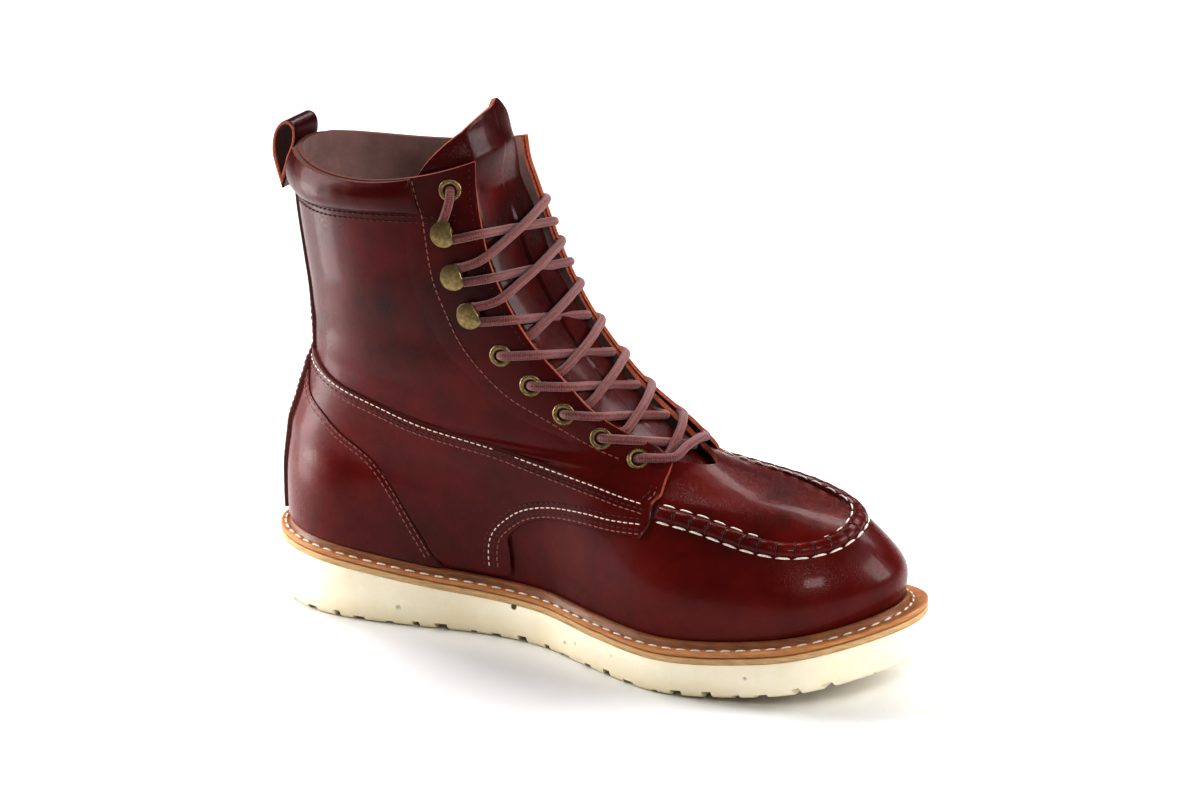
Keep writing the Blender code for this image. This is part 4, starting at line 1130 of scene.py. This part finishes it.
def standingFrame(side, loop, beyond):
    # seat of an eyelet or hook, and its three ways
    seat = besideThroat(side, loop, beyond, 0.0)
    up = unit(besideThroat(side, loop, beyond, 1.0) - seat)
    higher = besideThroat(side, loop + 0.1, beyond, 0.0) - seat
    higher = unit(higher - up * np.dot(higher, up))
    return seat, up, higher, np.cross(up, higher) * -side


def turnedMesh(seat, up, higher, inwardWay, profile, count):
    # profile rows are height and radius
    turn = 2 * math.pi * np.arange(count) / count
    spoke = higher[None] * np.cos(turn)[:, None] + inwardWay[None] * np.sin(turn)[:, None]
    return np.array([seat + up * h + spoke * r for h, r in profile])


def makeEyelet(side, word, number, loop, beyond):
    # rolled ring with a barrel, a near-black floor inside it as painted shadow in the hole, and a milled ring
    # of beads
    seat, up, higher, inwardWay = standingFrame(side, loop, beyond)
    seat = seat + up * eyeletLook["seat"]
    hole, outer, high = eyeletLook["hole"], eyeletLook["outer"], eyeletLook["height"]
    count = 40
    profile = ((-0.0020, hole), (high * 0.2, hole), (high * 0.75, hole * 1.10), (high, hole * 1.30),
               (high * 0.98, hole * 1.48), (high * 0.62, hole * 1.58), (high * 0.62, outer * 0.88),
               (high * 0.45, outer * 0.97), (high * 0.1, outer), (-0.0006, outer), (-0.0006, hole * 1.1),
               (-0.0020, hole * 1.1))
    rings = turnedMesh(seat, up, higher, inwardWay, profile, count)
    rows = len(profile)
    points = [rings.reshape(-1, 3)]
    faces = [tuple(f) for f in gridFaces(rows, count, 0, True)]
    faces += closingBand(rows, count)
    marks = [0] * len(faces)
    start = rows * count
    # near-black disc in the hole: painted shadow
    floor = turnedMesh(seat, up, higher, inwardWay, ((-0.0012, hole * 1.02), (-0.0013, 0.0005)), count)
    points.append(floor.reshape(-1, 3))
    new = [tuple(f) for f in gridFaces(2, count, start, True)]
    new.append(tuple(start + count + i for i in range(count)))
    faces += new
    marks += [1] * len(new)
    start += 2 * count
    for k in range(eyeletLook["beads"]):
        turn = 2 * math.pi * k / eyeletLook["beads"]
        out = higher * math.cos(turn) + inwardWay * math.sin(turn)
        centre = seat + out * (outer * 0.74 + hole * 0.15) + up * high * 0.66
        around = np.cross(up, out)
        size = eyeletLook["beadSize"]
        ball = []
        for h, r in ((-0.3, 1.0), (0.5, 0.8), (0.95, 0.3)):
            for q in range(6):
                spin = 2 * math.pi * q / 6
                spoke = out * math.cos(spin) * 1.5 + around * math.sin(spin)
                ball.append(centre + up * h * size + spoke * r * size)
        points.append(np.array(ball))
        new = [tuple(f) for f in gridFaces(3, 6, start, True)]
        new += [tuple(start + 12 + i for i in range(6)), tuple(start + i for i in range(6))]
        faces += new
        marks += [0] * len(new)
        start += 18
    place = "%s_%d" % (word, number)
    return makePiece("ring_" + place, np.concatenate(points), faces, [finishes["brass"], finishes["hole"]],
                     "root", ("eyelet_" + place,), 50, marks)


def makeHook(side, word, number, loop, beyond):
    # domed disc on a folded stem, cut straight on the side of the throat
    seat, up, higher, inwardWay = standingFrame(side, loop, beyond)
    disc, high, stem, thick = hookLook["disc"], hookLook["height"], hookLook["stem"], hookLook["thick"]
    seat = seat + up * 0.0003
    count = 48
    profile = ((0.0, stem * 1.9), (0.0007, stem * 1.8), (0.0012, stem), (high - thick * 2.2, stem),
               (high - thick * 1.9, disc * 0.5), (high - thick * 1.5, disc * 0.96),
               (high - thick * 1.1, disc), (high - thick * 0.7, disc * 0.97),
               (high - thick * 0.35, disc * 0.75),
               (high - thick * 0.1, disc * 0.45), (high, disc * 0.12))
    rings = turnedMesh(seat, up, higher, inwardWay, profile, count)
    turn = 2 * math.pi * np.arange(count) / count
    towards = np.sin(turn) * hookLook["flatSide"]
    for row in range(4, len(profile)):
        keep = np.minimum(1, hookLook["flat"] / np.clip(towards, 0.01, None))
        radial = rings[row] - (seat + up * profile[row][0])
        rings[row] += radial * (keep - 1)[:, None] * (profile[row][1] / disc)
    faces = [tuple(f) for f in gridFaces(len(profile), count, 0, True)]
    faces += [tuple(range(count)), tuple((len(profile) - 1) * count + i for i in range(count))]
    place = "%s_%d" % (word, number)
    return makePiece("speedHook_" + place, rings.reshape(-1, 3), faces, [finishes["brass"]], "root",
                     ("hook_" + place,), 50)


for side, word in sides:
    for number, (loop, beyond) in enumerate(eyeletPlaces, 1):
        makeEyelet(side, word, number, loop, beyond)
    for number, (loop, beyond) in enumerate(hookPlaces, 1):
        makeHook(side, word, number, loop, beyond)
print("boot: hardware made")

# Laces
laceLook = {"width": 0.0040, "over": 0.0023, "under": -0.0046, "step": 0.0011, "sides": 12, "braid": 0.0017,
            "leaveNear": 0.38, "leaveFar": 0.20, "rise": 0.0024, "crossing": 0.0021,
            "through": -0.0014, "rim": 0.0018}


def taut(start, end, way, bulge):
    # three places along a straight span, held off the tongue
    return [start + (end - start) * t + way * bulge * 4 * t * (1 - t) for t in (0.28, 0.5, 0.72)]


def laceRoute(side, lift):
    # from the bottom eyelet, crossing at each step, up to the top eyelet
    over, under = laceLook["over"], laceLook["under"]
    bottom, bottomBeyond = eyeletPlaces[0]
    route = [besideThroat(side, bottom, bottomBeyond, height) for height in (0.0022, -0.0012)]
    stations = eyeletPlaces[:5] + hookPlaces
    now = side
    for number in range(len(stations) - 1):
        low, lowBeyond = stations[number]
        high, highBeyond = stations[number + 1]
        step = high - low
        leave = low + step * (laceLook["leaveNear"] if now < 0 else laceLook["leaveFar"])
        if number < 5:
            route.append(besideThroat(now, low + 0.6 * (leave - low), lowBeyond * 0.5, under))
            start = besideThroat(now, leave, -0.0010, -0.0039)
            route.append(start)
        else:
            route.append(besideThroat(now, low + 0.17, lowBeyond - 0.0050, over + 0.0012))
            start = besideThroat(now, low + 0.24, 0.0012, over)
            route.append(start)
        end = besideThroat(-now, high - (0.02 if number < 4 else 0.24), 0.0010, over)
        way = outward(math.pi, low + 0.5 * step)
        route += taut(start, end, way, laceLook["rise"] + laceLook["crossing"] * lift)
        route.append(end)
        if number < 4:
            route.append(besideThroat(-now, high, highBeyond - 0.0040, over + 0.0004))
            route.append(besideThroat(-now, high, highBeyond - 0.0006, laceLook["rim"]))
            route.append(besideThroat(-now, high, highBeyond, laceLook["through"]))
        else:
            route.append(besideThroat(-now, high - 0.20, highBeyond - 0.0040, over + 0.0006))
            route.append(besideThroat(-now, high - 0.16, highBeyond + 0.0024, over + 0.0002))
            route.append(besideThroat(-now, high, highBeyond + 0.0042, over + 0.0002))
            route.append(besideThroat(-now, high + 0.17, highBeyond + 0.0022, over + 0.0004))
        now = -now
        lift = -lift
    top, topBeyond = eyeletPlaces[5]
    last, lastBeyond = stations[-1]
    route.append(besideThroat(now, last + 0.30 * (top - last), lastBeyond - 0.0006, over + 0.0002))
    route.append(besideThroat(now, last + 0.70 * (top - last), topBeyond + 0.0006, over + 0.0004))
    route.append(besideThroat(now, top - 0.04, topBeyond, 0.0020))
    route.append(besideThroat(now, top, topBeyond, -0.0012))
    return route


def smoothPath(route, step):
    rows = [(k, *point) for k, point in enumerate(route)]
    fine = np.linspace(0, len(route) - 1, 24 * len(route))
    path = np.column_stack([smooth(rows, c, fine) for c in (1, 2, 3)])
    run = lengthAlong(path)
    return readAlong(np.linspace(0, run[-1], int(run[-1] / step)), run, path)


def makeLaces():
    over, rim, through = laceLook["over"], laceLook["rim"], laceLook["through"]
    low, beyond = eyeletPlaces[0]
    nearEdge = besideThroat(-1, low + 0.05, 0.0010, over)
    farEdge = besideThroat(1, low + 0.05, 0.0010, over)
    bar = [besideThroat(-1, low, beyond, through), besideThroat(-1, low, beyond - 0.0006, rim),
           besideThroat(-1, low + 0.02, beyond - 0.0042, over + 0.0004), nearEdge]
    bar += taut(nearEdge, farEdge, outward(math.pi, low), laceLook["rise"] * 1.2)
    bar += [farEdge, besideThroat(1, low + 0.02, beyond - 0.0042, over + 0.0004),
            besideThroat(1, low, beyond - 0.0006, rim), besideThroat(1, low, beyond, through)]
    crossings = tuple("lace_crossing_%d" % number for number in range(1, 8))
    for name, route, replaced in (("laceBar", bar, ("lace_bar",)),
                                  ("laceOne", laceRoute(-1, 1.0), crossings + ("lace_end_medial",)),
                                  ("laceTwo", laceRoute(1, -1.0), ("lace_end_lateral",))):
        joinTubes(name, [smoothPath(route, laceLook["step"])], laceLook["width"] / 2, finishes["lace"],
                  laceLook["sides"], replaced, laceLook["braid"])


makeLaces()
print("boot: laces made")

# Sole
soleLook = {"points": 300, "bevel": 0.0035, "firstGroove": 0.06, "lastGroove": 0.95, "groovePitch": 0.0125,
            "grooveWidth": 0.0054, "grooveDepth": 0.0025, "midInset": 0.0004, "weltThick": 0.0024,
            "rib": 0.0030, "ribWidth": 0.0020, "ribLoop": 0.62, "hug": 0.0004, "insoleThick": 0.003}


def skinRing(count, loop, offset, height):
    # ring round the foot of the wall, at a height that depends on the place along the sole
    turn = 2 * math.pi * np.arange(count) / count - math.pi
    ring = skin(turn, np.full(count, float(loop)))[:, :2] - shift[:2]
    return raiseRing(ring, offset, height)


def stackRings(name, rings, materials, replaced, marks=None, close=False, angle=40):
    # rings joined into a solid: capped above and below, or closed from the last ring to the first
    rings = np.array(rings) + shift
    total, count = rings.shape[:2]
    faces = [tuple(f) for f in gridFaces(total, count, 0, True)]
    bandMarks = []
    for r in range(total - 1):
        bandMarks += [marks[r] if marks else 0] * count
    if close:
        faces += closingBand(total, count)
        bandMarks += [0] * count
    else:
        for start, flip in ((0, False), ((total - 1) * count, True)):
            for k in range(count // 2):
                face = [start + k, start + k + 1, start + (count - k - 1) % count,
                        start + (count - k) % count]
                face = list(dict.fromkeys(face))  # the strip's ends are triangles
                if len(face) > 2:
                    faces.append(tuple(face[::-1] if flip else face))
                    bandMarks.append(0)
    return makePiece(name, rings.reshape(-1, 3), faces, materials, "root", replaced, angle,
                     bandMarks)


def makeWedge():
    # wedge with its grooves cut through from side to side
    def part(up):
        return lambda share: soleRise(share) * (1 - up) + wedgeTop(share) * up

    count = soleLook["points"]
    bevel = soleLook["bevel"]
    # inset, and share of the wedge's height
    profile = ((bevel, 0.0), (bevel * 0.55, 0.04), (bevel * 0.22, 0.13), (bevel * 0.06, 0.26), (0.0, 0.42),
               (-0.0001, 0.7), (0.0, 0.97), (0.0003, 1.0))
    rings = [outlineRing(count, inset, part(up)) for inset, up in profile]
    made = stackRings("wedgeSole", rings, [finishes["rubber"]], ("outsole",))
    middle = soleLook["firstGroove"]
    cutters = []
    while middle < soleLook["lastGroove"]:
        x = middle * sole["length"] + shift[0]
        low = float(soleRise(middle))
        slope = float(soleRise(middle + 0.01) - soleRise(middle - 0.01)) / (0.02 * sole["length"])
        uneven = math.sin(len(cutters) * 2.4)
        half = soleLook["grooveWidth"] / 2 * (1 + 0.35 * uneven)
        corners = []
        for z in (-0.010, soleLook["grooveDepth"] * (1 - 0.4 * math.cos(len(cutters) * 1.7))):
            for dx, dy in ((-half, -0.11), (half, -0.11), (half, 0.11), (-half, 0.11)):
                taper = 0.75 if z > 0 else 1.0
                corners.append((x + dx * taper - slope * z, dy, low + z + slope * dx))
        start = len(cutters) * 8
        cutters.append((corners, start))
        middle += soleLook["groovePitch"] * (1 + 0.18 * uneven) / sole["length"]
    points = [c for corners, start in cutters for c in corners]
    faces = [tuple(start + i for i in face) for corners, start in cutters
             for face in ((0, 3, 2, 1), (4, 5, 6, 7), (0, 1, 5, 4), (1, 2, 6, 5), (2, 3, 7, 6), (3, 0, 4, 7))]
    mesh = bpy.data.meshes.new("grooveTool")
    mesh.from_pydata(points, [], faces)
    tool = bpy.data.objects.new("grooveTool", mesh)
    bpy.context.collection.objects.link(tool)
    step = made.modifiers.new("grooves", "BOOLEAN")
    step.operation = "DIFFERENCE"
    step.solver = "EXACT"
    step.object = tool
    bpy.context.view_layer.update()
    cutMesh = bpy.data.meshes.new_from_object(made.evaluated_get(bpy.context.evaluated_depsgraph_get()))
    made.modifiers.clear()
    made.data = cutMesh
    bpy.data.objects.remove(tool)
    cutMesh.shade_smooth()
    cutMesh.set_sharp_from_angle(angle=math.radians(35))
    return made


def makeMidsole():
    count = soleLook["points"]
    inset = soleLook["midInset"]
    full = sole["midsoleThick"] + sole["gap"]
    # inset, and height over the wedge
    profile = ((0.0006, -0.0002), (0.0001, 0.0003), (0.0, 0.0014), (0.0002, full - 0.0003),
               (0.0009, full + 0.0001))
    rings = [outlineRing(count, inset + more, lambda share, up=up: wedgeTop(share) + up)
             for more, up in profile]
    stackRings("midsoleLayerEdge", rings, [finishes["midsole"]], ("midsole",))


def seatLevel(up):
    return lambda share: midsoleTop(share) + sole["gap"] + up


def makeWelt():
    # flat strip with a raised rib beside the upper, and its stitches
    count = soleLook["points"]
    thick, rib, hug = soleLook["weltThick"], soleLook["rib"], soleLook["hug"]
    ribLoop, ribWidth = soleLook["ribLoop"], soleLook["ribWidth"]
    inset = soleLook["midInset"]
    flat = ((0.0007, 0.0), (0.0, 0.0004), (0.0, thick - 0.0005), (0.0006, thick))  # inset and height
    raised = (
        # loop of the wall, offset from it, height
        (ribLoop, hug + ribWidth * 1.25, thick),
        (ribLoop, hug + ribWidth * 0.95, thick + rib * 0.35),
        (ribLoop, hug + ribWidth * 0.80, thick + rib * 0.85),
        (ribLoop, hug + ribWidth * 0.45, thick + rib),
        (ribLoop, hug * 0.3, thick + rib * 0.95),
        (ribLoop * 0.5, 0.0, thick),
        (0, 0.0, 0.0),
    )
    rings = [outlineRing(count, inset + more, seatLevel(up)) for more, up in flat]
    rings += [skinRing(count, loop, offset, seatLevel(up)) for loop, offset, up in raised]
    # the rib's rings take the darker rib finish, partly painted shade beside the upper
    stackRings("weltStrip", rings, [finishes["welt"], finishes["rib"]], ("welt",),
               [0, 0, 0, 0, 1, 1, 1, 1, 1, 1], True)
    ring = skinRing(700, ribLoop, hug + ribWidth * 1.25 + 0.0011, seatLevel(thick + 0.0001)) + shift
    ring = np.concatenate([ring, ring[:1]])
    up = np.tile((0.0, 0.0, 1.0), (len(ring), 1))
    stitchRow("weltThread", ring, up, finishes["threadWhite"], 0.0066, 0.0056, 0.00115, 0.0, 0.45, 0.05)


def makeInsole():
    inset = -(shaft["wall"] + 0.0009)
    thick = soleLook["insoleThick"]
    rings = [skinRing(160, 0, inset, seatLevel(0.0)), skinRing(160, 0, inset, seatLevel(thick - 0.0005)),
             skinRing(160, 0, inset - 0.0008, seatLevel(thick))]
    stackRings("insoleBoard", rings, [finishes["lining"]], ("insole",))


makeWedge()
makeMidsole()
makeWelt()
makeInsole()
print("boot: sole made")

# Stitch rows on the panels, through (degrees, loop) places read off the wall
seamLook = {"pitch": 0.0030, "length": 0.0024, "thick": 0.00062, "rowGap": 0.0022, "strapEdge": 0.0078,
            "throatInset": 0.0026}
saddleSeam = ((-16, 10.56), (-30, 10.25), (-43.5, 9.9), (-57.5, 9.6), (-65, 9.4), (-75, 9.05), (-92.5, 8.5),
              (-102, 7.7), (-110.5, 6.95), (-115, 6.3), (-119.5, 6.0))
counterSeam = ((-16, 9.75), (-33, 8.5), (-44.5, 7.2), (-52, 5.85), (-55, 4.9), (-58.5, 3.65), (-62, 2.2),
               (-64, 1.4))
wingSeam = ((-111.0, 4.35), (-104.5, 4.23), (-98.5, 4.2), (-91.5, 4.03), (-85.5, 3.68), (-81.5, 3.18),
            (-78.5, 2.58), (-77.5, 1.95), (-77.5, 1.3))
facingSeam = ((-109.5, 16.8), (-109.5, 15.5), (-103.5, 13.9), (-102, 12.9), (-102, 11.9), (-108, 10.65),
              (-116, 10), (-125, 9.4), (-133, 8.9))
collarSeamLine = ((-14, 15.62), (-51, 15.68), (-77.5, 15.78), (-96.5, 15.64), (-107.5, 15.44), (-118, 15.28),
                  (-130, 15.14))
tabSeam = ((-111, 15.37), (-118, 15.27), (-126, 15.17), (-133, 15.08))
frontSeam = ((-112.5, 4.6), (-114, 5.1), (-120, 6.05), (-126, 6.6), (-136, 7.6), (-144.5, 8.4), (-149, 8.8),
             (-150, 9.1))


def shiftedLine(pairs, side, offset, sideways):
    # line beside a seam; sideways in metres
    line, up = wallLine(pairs if side < 0 else mirrored(pairs), offset)
    across = np.cross(up, unit(np.gradient(line, axis=0))) * -side
    return line - across * sideways, up


def throatLine(side, beyond, low, high, offset, samples=90):
    loops = np.linspace(low, high, samples)
    line = np.array([besideThroat(side, loop, beyond, offset) for loop in loops])
    top = np.array([besideThroat(side, loop, beyond, offset + 0.01) for loop in loops])
    return line, (top - line) * 100


def makeSeams():
    pitch, length, thick, gap = (seamLook[key] for key in ("pitch", "length", "thick", "rowGap"))
    over, counter = shaft["overlay"] + 0.0001, shaft["counter"] + 0.0001
    for side, word in sides:
        rows = (
            # name, seam, height, sideways, finish
            ("saddleTopWhite", saddleSeam, over, 0.0013, "threadWhite"),
            ("saddleTopDark", saddleSeam, over, 0.0013 + gap, "threadDark"),
            ("saddleTopInner", saddleSeam, over, 0.0013 + gap * 1.8, "threadRose"),
            ("wingDark", wingSeam, over, 0.0016, "threadRose"),
            ("wingSecond", wingSeam, over, 0.0016 + gap * 0.8, "threadDark"),
            ("wingWhite", wingSeam, over, 0.0016 + gap * 1.9, "threadWhite"),
            ("wingInner", wingSeam, over, 0.0016 + gap * 2.9, "threadDark"),
            ("counterOuter", counterSeam, counter, 0.0010, "threadRose"),
            ("counterInner", counterSeam, counter, 0.0010 + gap, "threadRose"),
            ("facingLine", facingSeam, 0.0007, 0.0, "threadRose"),
            ("collarUnder", collarSeamLine, 0.0003, 0.0, "threadDark"),
            ("collarLower", collarSeamLine, 0.0003, gap * 1.1, "threadDark"),
            ("tabUpper", tabSeam, shaft["facing"] * 0.8, 0.0, "threadDark"),
            ("tabLower", tabSeam, shaft["facing"] * 0.8, gap * 1.1, "threadDark"),
            ("frontOuter", frontSeam, shaft["facing"] + 0.0001, 0.0004, "threadRose"),
            ("frontInner", frontSeam, shaft["facing"] + 0.0001, -0.0020, "threadDark"),
        )
        for name, seam, height, sideways, finish in rows:
            line, up = shiftedLine(seam, side, height, sideways)
            stitchRow(name + "_" + word, line, up, finishes[finish], pitch, length, thick)
        line, up = throatLine(side, seamLook["throatInset"], 9.3, 16.9, shaft["facing"] * 0.85)
        stitchRow("throatLine_" + word, line, up, finishes["threadDark"], pitch, length, thick)
        loops = np.linspace(1.1, 15.3, 200)
        angle = backAngle(loops, np.full(200, side * seamLook["strapEdge"]))
        line = layer(angle, loops, strapLook["thick"] + strapHeight(loops) + 0.0001)
        stitchRow("strapRow_" + word, line, outward(angle, loops), finishes["threadRose"], pitch, length,
                  thick)


makeSeams()
print("boot: stitches made")

# Floor, lights and camera
studio = {
    # camera of the photograph, in the frame of the tables
    "cameraSpot": (1.0734, -1.7951, 0.7920),
    "forward": (-0.4646, 0.8175, -0.3404),
    "right": (0.8694, 0.4941, 0.0),
    "focalPixels": 3746.41,
    "photoCentre": (600.0, 400.0),  # in the photograph's pixels, as are the next three
    "windowCentre": (756.0, 328.0),
    "windowWidth": 900.0,
    "photoWidth": 1200.0,
    "sensor": 36.0,
    "worldLight": 0.15,
    "floorTone": 0.84,
    "floorSpan": 30.0,
    "lightsAim": (0.0, 0.0, 0.10),
    "contrast": 0.79,
}
studioLights = (
    # name, place, width, height, power
    ("keyAbove", (-0.75, 0.45, 1.50), 0.62, 0.62, 25),
    ("backWide", (0.3, 1.5, 1.40), 1.40, 0.45, 16),
    ("leftPanel", (-0.80, -0.22, 0.36), 0.34, 0.70, 7.5),
    ("lowLeft", (-0.43, -0.08, 0.075), 0.13, 0.15, 0.42),
    ("rightPanel", (0.95, 0.30, 0.55), 0.50, 0.55, 9.0),
    ("frontFill", (1.0, -1.2, 1.3), 0.55, 0.40, 12.5),
)


def makeCamera():
    forward, right = Vector(studio["forward"]).normalized(), Vector(studio["right"]).normalized()
    up = right.cross(forward)
    across = (studio["windowCentre"][0] - studio["photoCentre"][0]) / studio["focalPixels"]
    above = (studio["photoCentre"][1] - studio["windowCentre"][1]) / studio["focalPixels"]
    aim = (forward + right * across + up * above).normalized()
    data = bpy.data.cameras.new("photoCamera")
    data.sensor_width = studio["sensor"]
    focal = studio["focalPixels"] * studio["photoWidth"] / studio["windowWidth"]
    data.lens = focal * studio["sensor"] / studio["photoWidth"]
    data.clip_end = 50
    made = bpy.data.objects.new("photoCamera", data)
    made.location = Vector(studio["cameraSpot"]) + Vector(shift)
    made.rotation_euler = aim.to_track_quat("-Z", "Y").to_euler()
    bpy.context.collection.objects.link(made)
    bpy.context.scene.camera = made


def areaLight(name, spot, target, size, sizeY, power):
    data = bpy.data.lights.new(name, "AREA")
    data.shape = "RECTANGLE"
    data.size, data.size_y = size, sizeY
    data.energy = power
    made = bpy.data.objects.new(name, data)
    made.location = spot
    made.rotation_euler = (Vector(target) - Vector(spot)).to_track_quat("-Z", "Y").to_euler()
    bpy.context.collection.objects.link(made)


def makeStudio():
    mesh = bpy.data.meshes.new("studioFloor")
    span = studio["floorSpan"]
    corners = [(-span, -span, 0), (span, -span, 0), (span, span, 0), (-span, span, 0)]
    mesh.from_pydata(corners, [], [(0, 1, 2, 3)])
    floor = bpy.data.objects.new("studioFloor", mesh)
    bpy.context.collection.objects.link(floor)
    made, tree, shader = startMaterial("paleFloor", 0.75)
    tone = studio["floorTone"]
    grain = noise(tree, objectPlace(tree), 30.0, 3.0)
    paint(tree, shader, grain, (0.2, (tone, tone, tone)), (0.8, (tone + 0.01, tone + 0.01, tone + 0.01)))
    mesh.materials.append(made)
    world = bpy.data.worlds.new("studioWorld")
    world.use_nodes = True
    back = world.node_tree.nodes["Background"]
    back.inputs["Color"].default_value = (1.0, 1.0, 1.0, 1)
    back.inputs["Strength"].default_value = studio["worldLight"]
    bpy.context.scene.world = world
    for name, spot, size, sizeY, power in studioLights:
        areaLight(name, spot, studio["lightsAim"], size, sizeY, power)
    bpy.context.scene.view_settings.view_transform = "Standard"
    bpy.context.scene.view_settings.gamma = studio["contrast"]


makeCamera()
makeStudio()
print("boot: studio made")
